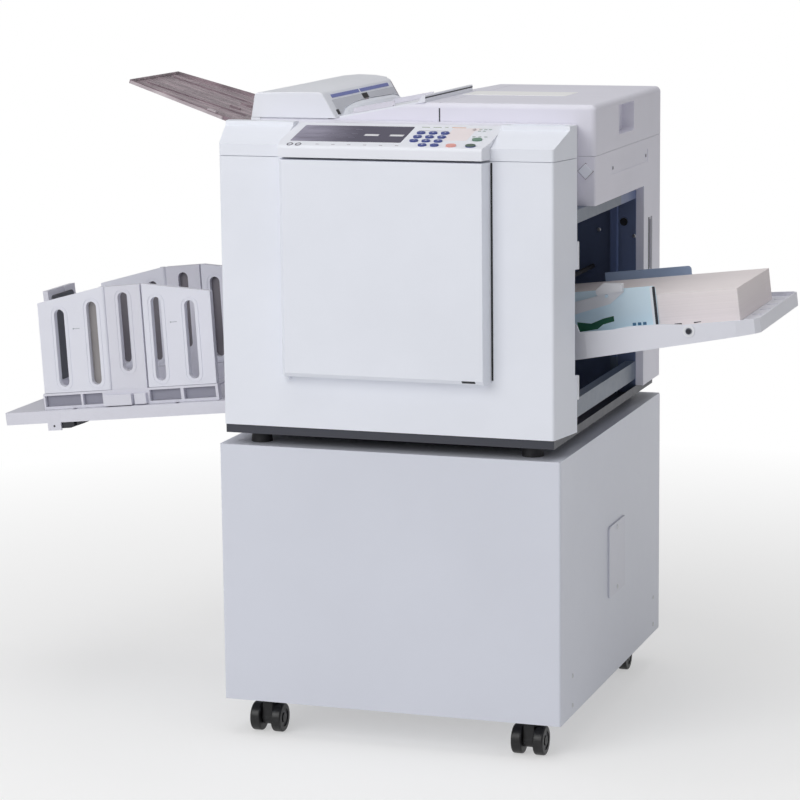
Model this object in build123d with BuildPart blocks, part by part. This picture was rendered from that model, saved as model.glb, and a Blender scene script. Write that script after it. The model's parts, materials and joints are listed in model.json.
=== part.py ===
# Digital duplicator on its stand cabinet: a stencil drum printer with a feed table on the
# right, a delivery table on the left, and an original feeder on the platen cover.
# Millimetres, +Z up, +X to the right seen from the front, front face towards -Y.
# The origin is on the floor under the middle of the cabinet.
from build123d import *
import math
import os

os.makedirs("parts", exist_ok=True)

# Clearances
seat = 0.3          # between pieces that rest on or slide along each other
run = 0.05          # radial, shaft in its hole
joint_gap = 1.0     # visible line between covers

# Casters
wheel_r = 25.0
wheel_w = 18.0
wheel_space = 20.0      # between the two wheels of one caster
axle_r = 4.0
caster_h = 64.0
caster_plate = 3.0
caster_trail = 16.5
stem_r = 5.0
caster_inset_x = 65.0
caster_inset_y = 59.5

# Stand cabinet
cab_w = 600.0
cab_d = 675.0
cab_h = 447.0
cab_sheet = 2.0
cab_flange = 18.0
cab_corner = 4.0
side_plate_w = 110.0
side_plate_h = 128.0
side_plate_t = 3.0
side_plate_y = 20.5     # middle of the plate from the cabinet's middle
side_plate_z = 208.5    # middle of the plate above the cabinet's floor
screw_r = 4.0
screw_t = 1.2

# Machine body
foot_r = 18.0
foot_h = 20.0
foot_inset_x = 60.0
foot_inset_y = 45.0
base_t = 2.0
case_lift = 35.0        # casing's lower edge above the cabinet
case_d = 84.0
case_half_w = 289.0
case_splay = 16.0
case_wall = 3.0
case_corner = 5.0
body_half_w = 300.0
body_d = 668.0
bay_end = 549.0         # back of the feed bay from the front
scan_front = 218.0      # scanner's front from the machine's front
frame_drop = 93.0       # top of the frames below the seam
frame_t = 3.0
frame_inset = 5.0       # front frame behind the casing's rear edge
bar_w = 18.0
bar_h = 22.0
bar_t = 3.0
rail_h = 32.0
rail_lift = 12.0        # base rail above the casing's lower edge
notch_low = 96.0
notch_high = 272.0
notch_d = 8.0

# Front door
door_left = -178.0
door_right = 183.0
door_low = 91.0         # above the casing's lower edge
door_h = 362.0
door_head = 1.0         # door's top below the seam
door_proud = 30.0       # door's face from the casing's front
door_back = 0.5
door_wall = 3.0
door_draft = 5.5
door_bevel = 11.0
door_pin_r = 2.5
door_edge_r = 4.0

# Upper casing and operation panel
lip_h = 20.0
shelf_h = 46.5          # shelf's back above the seam
shelf_end = 57.5        # shelf's back from the front
deck_h = 53.5           # flat top above the seam
plug_h = 6.0
panel_low = 3.0         # panel block above the seam
panel_lip = 12.0
panel_front_h = 22.0
panel_round = 6.0
panel_angle = 14.0
display_w = 192.0
display_d = 80.0
display_x = -64.0
display_y = 65.0        # middle of the window up the slope
display_t = 2.0
key_w = 14.5
key_d = 11.0
key_t = 5.5
key_up = 2.2
key_gap = 0.3
key_travel = 1.2
key_pitch_x = 20.8
key_pitch_y = 19.6
key_x = 73.0            # middle column
key_y = 73.5            # back row, up the slope
start_x = 157.0
start_y = 45.0
stop_x = 122.0
clear_key_x = 155.0
stop_y = 14.0
round_key_w = 17.0
round_key_d = 12.5

# Scanner, glass and covers
scan_h = 83.0
scan_wall = 3.0
glass_w = 430.0
glass_d = 300.0
glass_t = 4.0
lid_gap = 0.5
lid_h = 85.5
lid_wall = 3.0
lid_split = 26.0        # right edge of the feeder on the lid
lid_round = 10.0
pad_t = 3.0
hinge_r = 4.0
hinge_boss = 8.0
hinge_len = 30.0
handle_y0 = 154.0
handle_y1 = 258.0
handle_low = 23.0
handle_h = 51.0
handle_depth = 22.0

# Original feeder, heights above the lid's underside
adf_left = -350.0
adf_right = -167.0
adf_depth = 420.0
adf_drop = 19.5         # lower edge of the overhang
adf_seat = 54.5         # lid's low flat, where the feeder stands
adf_split = 65.0        # line between its base and its cover
adf_front_h = 100.5     # cover's highest line
adf_lap = 13.0          # slant of the cover's right edge
adf_wall = 3.0
adf_hinge_r = 8.0
adf_pin_r = 2.5
knuckle = 16.0
table_end = 0.0
table_x0 = -155.0
table_y0 = 2.0          # table's front edge behind the lid's front
table_d = 268.0
table_t = 3.0
table_ridge = 97.0
ridge_w = 5.0
guide_x0 = -138.0
guide_x1 = -63.0
guide_t = 3.0
guide_h = 9.0
guide_half = 105.0
tray_len = 227.0
tray_angle = 16.7
tray_root_w = 285.0
tray_tip_w = 250.0
tray_t = 2.5
tray_rim = 9.0
tray_h = 49.5           # tray's root

# Drum and paper path
paper_half = 128.5      # half of the sheet's width, short edge first
paper_y_off = 316.0     # paper's middle from the machine's front
drum_r = 90.0
drum_len = 340.0
drum_wall = 3.0
drum_shaft_r = 10.0
hub_r = 24.0
grip_up = 55.0          # flange handle above the drum's axis
grip_out = 40.0
grip_half = 45.0
grip_r = 7.0
drum_h = 254.0          # drum axis above the casing's lower edge
drum_hole = 8.0         # frame hole beyond the drum's radius
press_r = 25.0
press_len = 320.0
press_shaft_r = 6.0
feed_r = 18.0
feed_len = 60.0
feed_shaft_r = 4.0
guide_plate_t = 2.0
clamp_angle = 40.0

# Feed table and stack
feed_x = 240.0
feed_angle = 6.5
feed_len_x = 356.0
feed_bed = 144.8        # bed's inner end above the casing's lower edge
feed_half = 198.5
feed_half_end = 160.0
feed_tail = 50.0        # part of the table inside the bay
feed_wall = 4.0
feed_rim = 13.0
feed_rim_end = 6.5
feed_cheek = 28.0       # raised inner end of the rim
feed_deep = 38.0
feed_deep_end = 17.0
feed_travel = 60.0
ream_l = 364.0
ream_h = 54.5
ream_x = -47.0          # leading edge, inside the bay
fence_x0 = 24.0
fence_x1 = 180.0
fence_h = 70.0
fence_t = 2.5
fence_travel = 20.0
lever_t = 4.0
lever_pin_r = 2.5
post_w = 12.0
button_r = 5.0

# Delivery table
deliv_angle = 5.9
deliv_root = 14.0       # table's top at the cover, above the casing's lower edge
deliv_len = 488.0
deliv_half = 156.0
deliv_t = 22.0
deliv_wall = 3.0
plate_t = 12.0
plate_h = 185.0
plate_lean = 2.7        # lean of the panels from square to the table
plate_drop = 21.0       # outer corners below the middle
wing_w = 133.0
middle_w = 68.0
middle_x = -241.5
rail_base_h = 29.0
slot_w = 19.5
slot_low = 11.0
slot_low_mid = 32.0
slot_top = 20.0         # slot below the panel's edge
slot_top_mid = 12.0
wing_gap = 1.0
wing_pin_r = 1.5
latch_pin_r = 2.0
end_w = 114.0
end_t = 10.0
end_h = 205.0
end_x = -425.5
end_travel = 180.0

# Places worked out from the sizes above
cab_z = caster_h
cab_top = cab_z + cab_h
front_y = -cab_d / 2
case_z = cab_top + case_lift
case_h = door_low + door_h + door_head
body_top = case_h - frame_drop
seam_z = case_z + case_h
case_back = front_y + case_d
bay_back = front_y + bay_end
rear_y = front_y + body_d
scan_y = front_y + scan_front
scan_z = case_z + body_top
scan_top = scan_z + scan_h
lid_z = scan_top + lid_gap
lid_top = lid_z + lid_h
base_z = cab_top + foot_h
paper_y = front_y + paper_y_off
front_frame_y = case_back - frame_inset - frame_t
rear_frame_y = bay_back - frame_t
frame_half = body_half_w - 14.0
drum_z = case_z + drum_h
press_z = drum_z - drum_r - press_r - seat
case_half_back = case_half_w + case_splay


# Adds a plain block to the part being built, from low and high corners
def block(x, y, z, mode=Mode.ADD):
    middle = ((x[0] + x[1]) / 2, (y[0] + y[1]) / 2, (z[0] + z[1]) / 2)
    with Locations(middle):
        Box(x[1] - x[0], y[1] - y[0], z[1] - z[0], mode=mode)


# Adds a round bar along Y to the part being built
def bar_y(x, y, z, radius, mode=Mode.ADD):
    with Locations(Location((x, (y[0] + y[1]) / 2, z), (90, 0, 0))):
        Cylinder(radius, y[1] - y[0], mode=mode)


# Adds an upright round bar to the part being built
def bar_z(x, y, z, radius, mode=Mode.ADD):
    with Locations((x, y, (z[0] + z[1]) / 2)):
        Cylinder(radius, z[1] - z[0], mode=mode)


# A closed face with straight sides, rounded by one radius if one is given
def outline(plane, points, radius=0.0):
    with BuildSketch(plane) as face:
        with BuildLine():
            Polyline(*points, close=True)
        make_face()
        if radius:
            fillet(face.vertices(), radius)
    return face.sketch


def save(piece, name):
    piece.part.label = name
    export_step(piece.part, "parts/" + name + ".step")


# Stand cabinet: a folded sheet round the front and sides, with return flanges at the back
wrap_back = cab_d / 2 - cab_sheet
with BuildPart() as cabinet_shell:
    with BuildSketch(Plane.XY.offset(cab_z)) as wrap_face:
        with Locations((0, -cab_sheet / 2)):
            Rectangle(cab_w, cab_d - cab_sheet)
        fillet(wrap_face.vertices().group_by(Axis.Y)[0], cab_corner)
        offset(amount=-cab_sheet, mode=Mode.SUBTRACT)
        with Locations((0, wrap_back)):
            Rectangle(cab_w - 2 * (cab_sheet + cab_flange), 3 * cab_sheet, mode=Mode.SUBTRACT)
    extrude(amount=cab_h - cab_sheet)
save(cabinet_shell, "cabinet_shell")

pan_half = cab_w / 2 - cab_sheet - seat
pan_y0 = -cab_d / 2 + cab_sheet + seat
pan_y1 = wrap_back - cab_sheet - seat


# A shallow pan that fits inside the wrap: its rim stands from the first height to the second
def cabinet_rim(z0, z1):
    middle = (pan_y0 + pan_y1) / 2
    for inset, mode in ((0, Mode.ADD), (cab_sheet, Mode.SUBTRACT)):
        with Locations((0, middle, (z0 + z1) / 2)):
            Box(2 * (pan_half - inset), pan_y1 - pan_y0 - 2 * inset, z1 - z0, mode=mode)


# The same plan with rounded corners, to bend with the wrap
def pan_plan(z):
    with BuildSketch(Plane.XY.offset(z)) as face:
        with Locations((0, (pan_y0 + pan_y1) / 2)):
            RectangleRounded(2 * pan_half, pan_y1 - pan_y0, cab_corner)
    return face.sketch


with BuildPart() as cabinet_top:
    cabinet_rim(cab_top - cab_sheet - cab_flange, cab_top - cab_sheet)
    extrude(pan_plan(cab_top - cab_sheet - cab_flange), amount=cab_flange, mode=Mode.INTERSECT)
    with BuildSketch(Plane.XY.offset(cab_top - cab_sheet)) as lid_face:
        Rectangle(cab_w, cab_d)
        fillet(lid_face.vertices(), cab_corner)
    extrude(amount=cab_sheet)
save(cabinet_top, "cabinet_top")

caster_x = cab_w / 2 - caster_inset_x
caster_y = cab_d / 2 - caster_inset_y
caster_spots = [(-caster_x, -caster_y), (caster_x, -caster_y), (-caster_x, caster_y), (caster_x, caster_y)]
with BuildPart() as cabinet_floor:
    cabinet_rim(cab_z, cab_z + cab_flange)
    block((-pan_half, pan_half), (pan_y0, pan_y1), (cab_z, cab_z + cab_sheet))
    extrude(pan_plan(cab_z), amount=cab_flange, mode=Mode.INTERSECT)
    with BuildSketch(Plane.XY.offset(cab_z - caster_plate)):
        with Locations(*caster_spots):
            RectangleRounded(84, 84, 8)
    extrude(amount=caster_plate)
    with BuildSketch(Plane.XY.offset(cab_z - caster_plate)):
        with Locations(*caster_spots):
            Circle(stem_r + run)
    extrude(amount=caster_plate + cab_sheet, mode=Mode.SUBTRACT)
save(cabinet_floor, "cabinet_floor")

with BuildPart() as cabinet_rear_panel:
    rear_low = cab_z
    rear_high = cab_top - cab_sheet
    block((-cab_w / 2, cab_w / 2), (wrap_back, cab_d / 2), (rear_low, rear_high))
save(cabinet_rear_panel, "cabinet_rear_panel")

plate_mid_z = cab_z + side_plate_z
with BuildPart() as cabinet_side_plate:
    with BuildSketch(Plane.YZ.offset(cab_w / 2)):
        with Locations((side_plate_y, plate_mid_z)):
            RectangleRounded(side_plate_w, side_plate_h, 7)
    extrude(amount=side_plate_t)
    fillet(cabinet_side_plate.faces().sort_by(Axis.X)[-1].edges(), 1.2)
save(cabinet_side_plate, "cabinet_side_plate")


screw_spots = []
for end_y in (-cab_d / 2 + 73, cab_d / 2 - 44):
    for up in (17, 68):
        for side in (-1, 1):
            screw_spots.append((side * cab_w / 2, end_y, cab_z + up, side))
for up in (-side_plate_h / 2 + 10, side_plate_h / 2 - 10):
    screw_spots.append((cab_w / 2 + side_plate_t, side_plate_y, plate_mid_z + up, 1))
with BuildPart() as cabinet_screws:
    for x, y, z, side in screw_spots:
        with BuildSketch(Plane(origin=(x, y, z), z_dir=(side, 0, 0))):
            Circle(screw_r)
        extrude(amount=screw_t, taper=15)
    for side in (-1, 1):
        for up in (40, cab_h - 40):
            spot = (side * (cab_w / 2 - 12), cab_d / 2, cab_z + up)
            with BuildSketch(Plane(origin=spot, z_dir=(0, 1, 0))):
                Circle(screw_r)
            extrude(amount=screw_t, taper=15)
save(cabinet_screws, "cabinet_screws")

# Twin-wheel casters, all trailing forwards as the cabinet was last rolled back
caster_names = ["front_left", "front_right", "rear_left", "rear_right"]
fork_top = cab_z - caster_plate
for name, (x, y) in zip(caster_names, caster_spots):
    wheel_y = y - caster_trail
    with BuildPart() as caster_fork:
        hub = Plane.YZ.offset(x - wheel_space / 2 + joint_gap)
        with BuildSketch(hub) as fork_side:
            with BuildLine():
                Polyline((wheel_y - 13, wheel_r), (wheel_y - 9, fork_top - 8), (y - 13, fork_top - 6),
                         (y + 13, fork_top - 6), (y + 9, wheel_r + 6), (wheel_y + 13, wheel_r - 4),
                         close=True)
            make_face()
            with Locations((wheel_y, wheel_r)):
                Circle(13)
        extrude(amount=wheel_space - 2 * joint_gap)
        bar_z(x, y, (fork_top - 9, fork_top), 16)
        bar_z(x, y, (fork_top - 1, fork_top + caster_plate + cab_sheet), stem_r)
        with BuildSketch(hub):
            with Locations((wheel_y, wheel_r)):
                Circle(axle_r + run)
        extrude(amount=wheel_space, mode=Mode.SUBTRACT)
    save(caster_fork, "caster_fork_" + name)
    with BuildPart() as caster_wheels:
        for side in (-1, 1):
            inner = x + side * wheel_space / 2
            with BuildSketch(Plane(origin=(inner, wheel_y, wheel_r), z_dir=(side, 0, 0))):
                Circle(wheel_r)
            extrude(amount=wheel_w)
            with BuildSketch(Plane(origin=(inner + side * wheel_w, wheel_y, wheel_r), z_dir=(side, 0, 0))):
                Circle(wheel_r * 0.62)
                Circle(wheel_r * 0.34, mode=Mode.SUBTRACT)
            extrude(amount=-2.5, mode=Mode.SUBTRACT)
        rims = caster_wheels.edges().filter_by(GeomType.CIRCLE)
        fillet(rims.filter_by(lambda e: abs(e.radius - wheel_r) < 0.01), 3)
        with BuildSketch(Plane(origin=(x - wheel_space / 2, wheel_y, wheel_r), z_dir=(1, 0, 0))):
            Circle(axle_r)
        extrude(amount=wheel_space)
    save(caster_wheels, "caster_wheels_" + name)

# Feet and base pan of the machine
feet_x = body_half_w - foot_inset_x
with BuildPart() as machine_feet:
    with BuildSketch(Plane.XY.offset(cab_top)):
        for spot_y in (front_y + foot_inset_y, rear_y - foot_inset_y):
            with Locations((-feet_x, spot_y), (feet_x, spot_y)):
                Circle(foot_r)
    extrude(amount=foot_h, taper=4)
save(machine_feet, "machine_feet")

base_half = frame_half + seat + base_t
base_y0 = front_y + case_wall + joint_gap
base_y1 = rear_y - case_wall - joint_gap
with BuildPart() as base_frame:
    block((-base_half, base_half), (base_y0, base_y1), (base_z, case_z))
    block((-base_half + base_t, base_half - base_t), (base_y0 + base_t, base_y1 - base_t),
          (base_z + base_t, case_z), Mode.SUBTRACT)
save(base_frame, "base_frame")

# Frames of a duplicator: a front plate that the drum slides through, and a rear plate
feed_c = math.cos(math.radians(feed_angle))
feed_s = math.sin(math.radians(feed_angle))
feed_plane = Plane(origin=(feed_x, paper_y, case_z + feed_bed), x_dir=(feed_c, 0, feed_s),
                   z_dir=(-feed_s, 0, feed_c))
stack_top = seat + ream_h
feed_axis_up = stack_top + seat + feed_r
feed_axis_in = ream_x + 22
feed_axis_x = feed_x + feed_axis_in * feed_c - feed_axis_up * feed_s
feed_axis_z = case_z + feed_bed + feed_axis_in * feed_s + feed_axis_up * feed_c
frame_z0 = base_z + base_t
with BuildPart() as side_frames:
    for y0 in (front_frame_y, rear_frame_y):
        block((-frame_half, frame_half), (y0, y0 + frame_t), (frame_z0, scan_z))
    bar_y(0, (front_frame_y, front_frame_y + frame_t), drum_z, drum_r + drum_hole, Mode.SUBTRACT)
    bar_y(0, (rear_frame_y, rear_frame_y + frame_t), drum_z, drum_shaft_r + run, Mode.SUBTRACT)
    through = (front_frame_y, rear_frame_y + frame_t)
    bar_y(0, through, press_z, press_shaft_r + run, Mode.SUBTRACT)
    bar_y(feed_axis_x, through, feed_axis_z, feed_shaft_r + run, Mode.SUBTRACT)
    bar_y(frame_half - 22, (rear_frame_y, rear_frame_y + frame_t), drum_z + 43, 7, Mode.SUBTRACT)
save(side_frames, "side_frames")

post_x = feed_x + 10
post_y = feed_half + 18
rail_z = case_z + rail_lift
span = (front_frame_y + frame_t, rear_frame_y)
with BuildPart() as frame_rails:
    for side in (-1, 1):
        outer = side * frame_half
        inner = side * (frame_half - bar_w)
        x = (min(outer, inner), max(outer, inner))
        hollow = (min(outer - side * bar_t, inner), max(outer - side * bar_t, inner))
        block(x, span, (scan_z - bar_h, scan_z))
        block(hollow, span, (scan_z - bar_h + bar_t, scan_z - bar_t), Mode.SUBTRACT)
        block(x, span, (rail_z, rail_z + rail_h))
        block(hollow, span, (rail_z + bar_t, rail_z + rail_h - bar_t), Mode.SUBTRACT)
        mid_y = paper_y + side * post_y
        block((post_x - post_w / 2, post_x + post_w / 2), (mid_y - post_w / 2, mid_y + post_w / 2),
              (frame_z0, scan_z))
save(frame_rails, "frame_rails")

# Paper guides between the frames: a feed plate, a delivery chute and the feed side's inner cover
nip_z = press_z + press_r
with BuildPart() as paper_guides:
    lead_x = feed_x - feed_tail - 8
    lead = [(28, nip_z - 4), (lead_x, nip_z + 14), (lead_x, nip_z + 14 - guide_plate_t),
            (28, nip_z - 4 - guide_plate_t)]
    extrude(outline(Plane.XZ.offset(-span[1]), lead), amount=span[1] - span[0])
    chute = [(-28, nip_z - 4), (-body_half_w + 14, nip_z - 58),
             (-body_half_w + 14, nip_z - 58 - guide_plate_t),
             (-28, nip_z - 4 - guide_plate_t)]
    extrude(outline(Plane.XZ.offset(-span[1]), chute), amount=span[1] - span[0])
    block((168, 168 + guide_plate_t), span, (nip_z + 40, scan_z))
save(paper_guides, "paper_guides")

# Lower front casing
back_slope = case_splay / case_d


# Half width of the splayed casing at a depth behind its front
def splay(depth):
    return case_half_w + back_slope * depth


# Plan of the casing, drawn in by an inset, from a start depth to its back
def casing_plan(z, inset, start, radius):
    shape = [(-splay(start) + inset, front_y + start), (splay(start) - inset, front_y + start),
             (case_half_back - inset, case_back), (-case_half_back + inset, case_back)]
    with BuildSketch(Plane.XY.offset(z)) as face:
        with BuildLine():
            Polyline(*shape, close=True)
        make_face()
        if radius:
            fillet(face.vertices().group_by(Axis.Y)[0], radius)
    return face.sketch


pin_x = door_left + door_edge_r
pin_y = front_y - door_back - door_edge_r
door_z = case_z + door_low
with BuildPart() as front_casing:
    extrude(casing_plan(case_z, 0, 0, case_corner), amount=case_h)
    extrude(casing_plan(case_z + case_wall, case_wall, case_wall, case_corner - case_wall), amount=case_h,
            mode=Mode.SUBTRACT)
    block((-frame_half - seat, frame_half + seat), (front_frame_y - seat, case_back + 1),
          (case_z - 1, case_z + case_wall + 1), Mode.SUBTRACT)
    block((door_left + 28, door_right - 28), (front_y - 1, front_y + case_wall + 1),
          (door_z + 18, door_z + door_h - 14), Mode.SUBTRACT)
    block((splay(0) - 20, case_half_back + 1), (case_back - notch_d, case_back + 1),
          (case_z + notch_low, case_z + notch_high), Mode.SUBTRACT)
    for z0, z1 in ((case_wall, notch_low), (notch_high, notch_high + 48)):
        block((case_half_back - case_wall - 11, case_half_back - case_wall - 0.4),
              (case_back - 3, case_back),
              (case_z + z0, case_z + z1))
    for x in (-250, 250):
        for up in (60, case_h - 110):
            bar_y(x, (front_y + case_wall, front_frame_y), case_z + up, 8)
    block((pin_x - 5, pin_x + 7), (pin_y - 7, front_y), (door_z - seat - 7, door_z - seat))
    bar_z(pin_x, pin_y, (door_z - seat - 7, door_z + 8), door_pin_r)
save(front_casing, "front_casing")

door_front = front_y - door_proud
door_y = front_y - door_back
with BuildPart() as front_door:
    shell_points = [(door_left, door_y), (door_right, door_y), (door_right - door_draft, door_front),
                    (door_left + door_bevel, door_front), (door_left, door_y - 12)]
    with BuildSketch(Plane.XY.offset(door_z)) as door_face:
        with BuildLine():
            Polyline(*shell_points, close=True)
        make_face()
        fillet(door_face.vertices().sort_by(Axis.X)[0:2].sort_by(Axis.Y)[-1], door_edge_r)
    extrude(amount=door_h)
    low_edge = front_door.edges().filter_by(Axis.X).group_by(Axis.Z)[0].sort_by(Axis.Y)[0]
    chamfer(low_edge, 7)
    edge_x = door_left + 3 * door_edge_r
    hollow = [(edge_x, door_y + 1), (door_right - door_wall, door_y + 1),
              (door_right - door_wall - door_draft, door_front + door_wall),
              (door_left + door_bevel + 2, door_front + door_wall), (edge_x, door_y - 12)]
    extrude(outline(Plane.XY.offset(door_z + door_wall + 6), hollow), amount=door_h - 2 * door_wall - 6,
            mode=Mode.SUBTRACT)
    for z0, z1 in ((door_z, door_z + 10), (door_z + door_h - 14, door_z + door_h)):
        bar_z(pin_x, pin_y, (z0, z1), door_pin_r + run, Mode.SUBTRACT)
    block((door_right - 42, door_right - 19), (door_front - 1, door_front + 6), (door_z + 8, door_z + 11),
          Mode.SUBTRACT)
    fillet(front_door.faces().sort_by(Axis.Y)[0].outer_wire().edges().sort_by(Axis.Z)[-1], 2)
save(front_door, "front_door")

# Upper casing: a lip, a sloping shelf and a flat deck, with a plug that seats in the lower casing
shelf_line = [(front_y - 1, seam_z + lip_h), (front_y + 10.5, seam_z + lip_h + 5),
              (front_y + shelf_end / 2 + 3, seam_z + (lip_h + shelf_h) / 2 + 2),
              (front_y + shelf_end, seam_z + shelf_h), (front_y + shelf_end + 2, seam_z + deck_h + 1)]
top_low = seam_z + joint_gap
with BuildPart() as casing_core:
    plan = casing_plan(seam_z - plug_h - 1, 2 * case_wall + seat, 2 * case_wall + seat, 0)
    extrude(plan, amount=deck_h + plug_h + 1 - case_wall)
    lowered = [(y + 1, z - case_wall - 1) for y, z in shelf_line]
    lowered = [(front_y - 1, lowered[0][1])] + lowered[1:] + [(front_y - 1, seam_z + deck_h + 1)]
    extrude(outline(Plane.YZ.offset(-case_half_back), lowered), amount=2 * case_half_back,
            mode=Mode.SUBTRACT)
    block((door_left - seat - case_wall, door_right + seat + case_wall), (front_y, case_back + 1),
          (seam_z - plug_h - 2, seam_z + deck_h + 2), Mode.SUBTRACT)
with BuildPart() as upper_casing:
    extrude(casing_plan(top_low, 0, 0, case_corner), amount=deck_h - joint_gap)
    above = shelf_line + [(front_y - 1, seam_z + deck_h + 1)]
    extrude(outline(Plane.YZ.offset(-case_half_back), above), amount=2 * case_half_back, mode=Mode.SUBTRACT)
    extrude(casing_plan(seam_z - plug_h, case_wall + seat, case_wall + seat, case_wall), amount=plug_h + 2)
    block((door_left - seat, door_right + seat), (front_y - 5, case_back + 5),
          (seam_z + panel_low, seam_z + deck_h + 5), Mode.SUBTRACT)
    add(casing_core.part, mode=Mode.SUBTRACT)
save(upper_casing, "upper_casing")

# Operation panel: a moulded block in line with the door, its face sloping up to the deck
panel_tilt = math.radians(panel_angle)
panel_front_z = seam_z + panel_front_h
panel_back_z = panel_front_z + (case_back - door_front) * math.tan(panel_tilt)
panel_z = seam_z + panel_low
panel_plane = Plane(origin=(0, door_front, panel_front_z), x_dir=(1, 0, 0),
                    z_dir=(0, -math.sin(panel_tilt), math.cos(panel_tilt)))
key_columns = [key_x - key_pitch_x, key_x, key_x + key_pitch_x]
key_spots = []
for row in range(3):
    for column in key_columns:
        key_spots.append((column, key_y - row * key_pitch_y))
key_spots.append((key_x, stop_y))
key_spots.append((key_x + key_pitch_x, stop_y))
clear_spot = (clear_key_x, stop_y)
mat_t = 1.2
mat_low = key_up - key_t
skin = -mat_low - mat_t - seat          # panel's skin above the key mat
well = mat_low - key_travel - seat


# Ovals on the panel's slope, one at each spot
def ovals(depth, spots, width, length):
    with BuildSketch(panel_plane.offset(depth)) as face:
        with Locations(*spots):
            Ellipse(width / 2, length / 2)
    return face.sketch


# Outline of the mat that joins the number keys and the clear key
def key_mat(depth, grow):
    left = key_columns[0] - key_w / 2 - 2
    right = key_columns[2] + key_w / 2 + 2
    low = stop_y - 8
    high = key_y + 8
    row_low = key_y - 2 * key_pitch_y - 8
    pads = [(left, right, row_low, high), (key_x - 9, right, low, row_low + 1),
            (right - 1, clear_key_x + 4, row_low, row_low + 7),
            (clear_key_x - 4, clear_key_x + 4, stop_y, row_low + 7)]
    with BuildSketch(panel_plane.offset(depth)) as face:
        for x0, x1, y0, y1 in pads:
            with Locations(((x0 + x1) / 2, (y0 + y1) / 2)):
                Rectangle(x1 - x0 + 2 * grow, y1 - y0 + 2 * grow)
        with Locations(clear_spot):
            Ellipse(round_key_w / 2 + 1.5 + grow, round_key_d / 2 + 1.5 + grow)
    return face.sketch


with BuildPart() as operation_panel:
    side_view = [(door_front, panel_z), (door_front, panel_front_z), (case_back, panel_back_z),
                 (case_back, panel_z)]
    with BuildSketch(Plane.YZ.offset(door_left)) as panel_face:
        with BuildLine():
            Polyline(*side_view, close=True)
        make_face()
        fillet(panel_face.vertices().sort_by(Axis.X)[0:2].sort_by(Axis.Y)[-1], panel_round)
    extrude(amount=door_right - door_left)
    plan = [(door_left + door_draft, door_front - 1), (door_right - door_draft, door_front - 1),
            (door_right, front_y),
            (door_right, case_back), (door_left, case_back), (door_left, front_y)]
    extrude(outline(Plane.XY.offset(panel_z), plan), amount=deck_h, mode=Mode.INTERSECT)
    bar_z(pin_x, pin_y, (door_z + door_h - 11, panel_z + 1), door_pin_r)
    with BuildSketch(panel_plane) as window_face:
        with Locations((display_x, display_y)):
            RectangleRounded(display_w + 2 * seat, display_d + 2 * seat, 3 + seat)
    extrude(amount=-display_t, mode=Mode.SUBTRACT)
    extrude(ovals(1, key_spots, key_w + 2 * key_gap, key_d + 2 * key_gap), amount=-skin - 2,
            mode=Mode.SUBTRACT)
    extrude(ovals(1, [clear_spot, (start_x, start_y), (stop_x, stop_y)], round_key_w + 2 * key_gap,
                  round_key_d + 2 * key_gap), amount=-skin - 2, mode=Mode.SUBTRACT)
    extrude(key_mat(-skin, key_gap), amount=well + skin, mode=Mode.SUBTRACT)
    extrude(ovals(-skin, [(start_x, start_y), (stop_x, stop_y)], round_key_w + 3 + 2 * key_gap,
                  round_key_d + 3 + 2 * key_gap), amount=well + skin, mode=Mode.SUBTRACT)
save(operation_panel, "operation_panel")

with BuildPart() as display_window:
    with BuildSketch(panel_plane.offset(-display_t)):
        with Locations((display_x, display_y)):
            RectangleRounded(display_w, display_d, 3)
    extrude(amount=display_t)
save(display_window, "display_window")

with BuildPart() as number_keys:
    extrude(key_mat(mat_low, 0), amount=mat_t)
    extrude(ovals(mat_low, key_spots, key_w, key_d), amount=key_t)
    extrude(ovals(mat_low, [clear_spot], round_key_w, round_key_d), amount=key_t)
save(number_keys, "number_keys")

for name, spot in (("start_key", (start_x, start_y)), ("stop_key", (stop_x, stop_y))):
    with BuildPart() as round_key:
        extrude(ovals(mat_low, [spot], round_key_w + 3, round_key_d + 3), amount=mat_t)
        extrude(ovals(mat_low, [spot], round_key_w, round_key_d), amount=key_t)
    save(round_key, name)

# Middle cover between the casing and the scanner, over the frames
middle_right = frame_half - bar_w
middle_top = seam_z + lip_h + 2 * panel_lip
with BuildPart() as middle_cover:
    block((-body_half_w + case_wall, middle_right), (case_back, scan_y - joint_gap), (scan_z, middle_top))
    block((-body_half_w + 2 * case_wall, middle_right - case_wall),
          (case_back + case_wall, scan_y - joint_gap - case_wall),
          (scan_z + case_wall, middle_top - case_wall),
          Mode.SUBTRACT)
    top_edges = middle_cover.faces().sort_by(Axis.Z)[-1].edges().filter_by(Axis.Y)
    fillet(top_edges, 4)
    block((middle_right - 1, middle_right + 10), (case_back + 40, case_back + 70),
          (scan_z, scan_z + case_wall))
save(middle_cover, "middle_cover")

# Left cover with the paper exit, and the U-shaped rear cover
cover_x0 = -body_half_w
cover_x1 = -body_half_w + case_wall
exit_half = 160.0
with BuildPart() as left_cover:
    block((cover_x0, cover_x1), (case_back + joint_gap, rear_frame_y), (case_z, scan_z))
    block((cover_x0 - 1, cover_x1 + 1), (paper_y - exit_half, paper_y + exit_half),
          (case_z + 44, case_z + 184), Mode.SUBTRACT)
    for y0 in (case_back + 4, rear_frame_y - 26):
        for z0, z1 in ((scan_z - bar_h + 5, scan_z - 5), (rail_z + 5, rail_z + rail_h - 5)):
            block((cover_x1, -frame_half), (y0, y0 + 18), (z0, z1))
save(left_cover, "left_cover")

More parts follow.
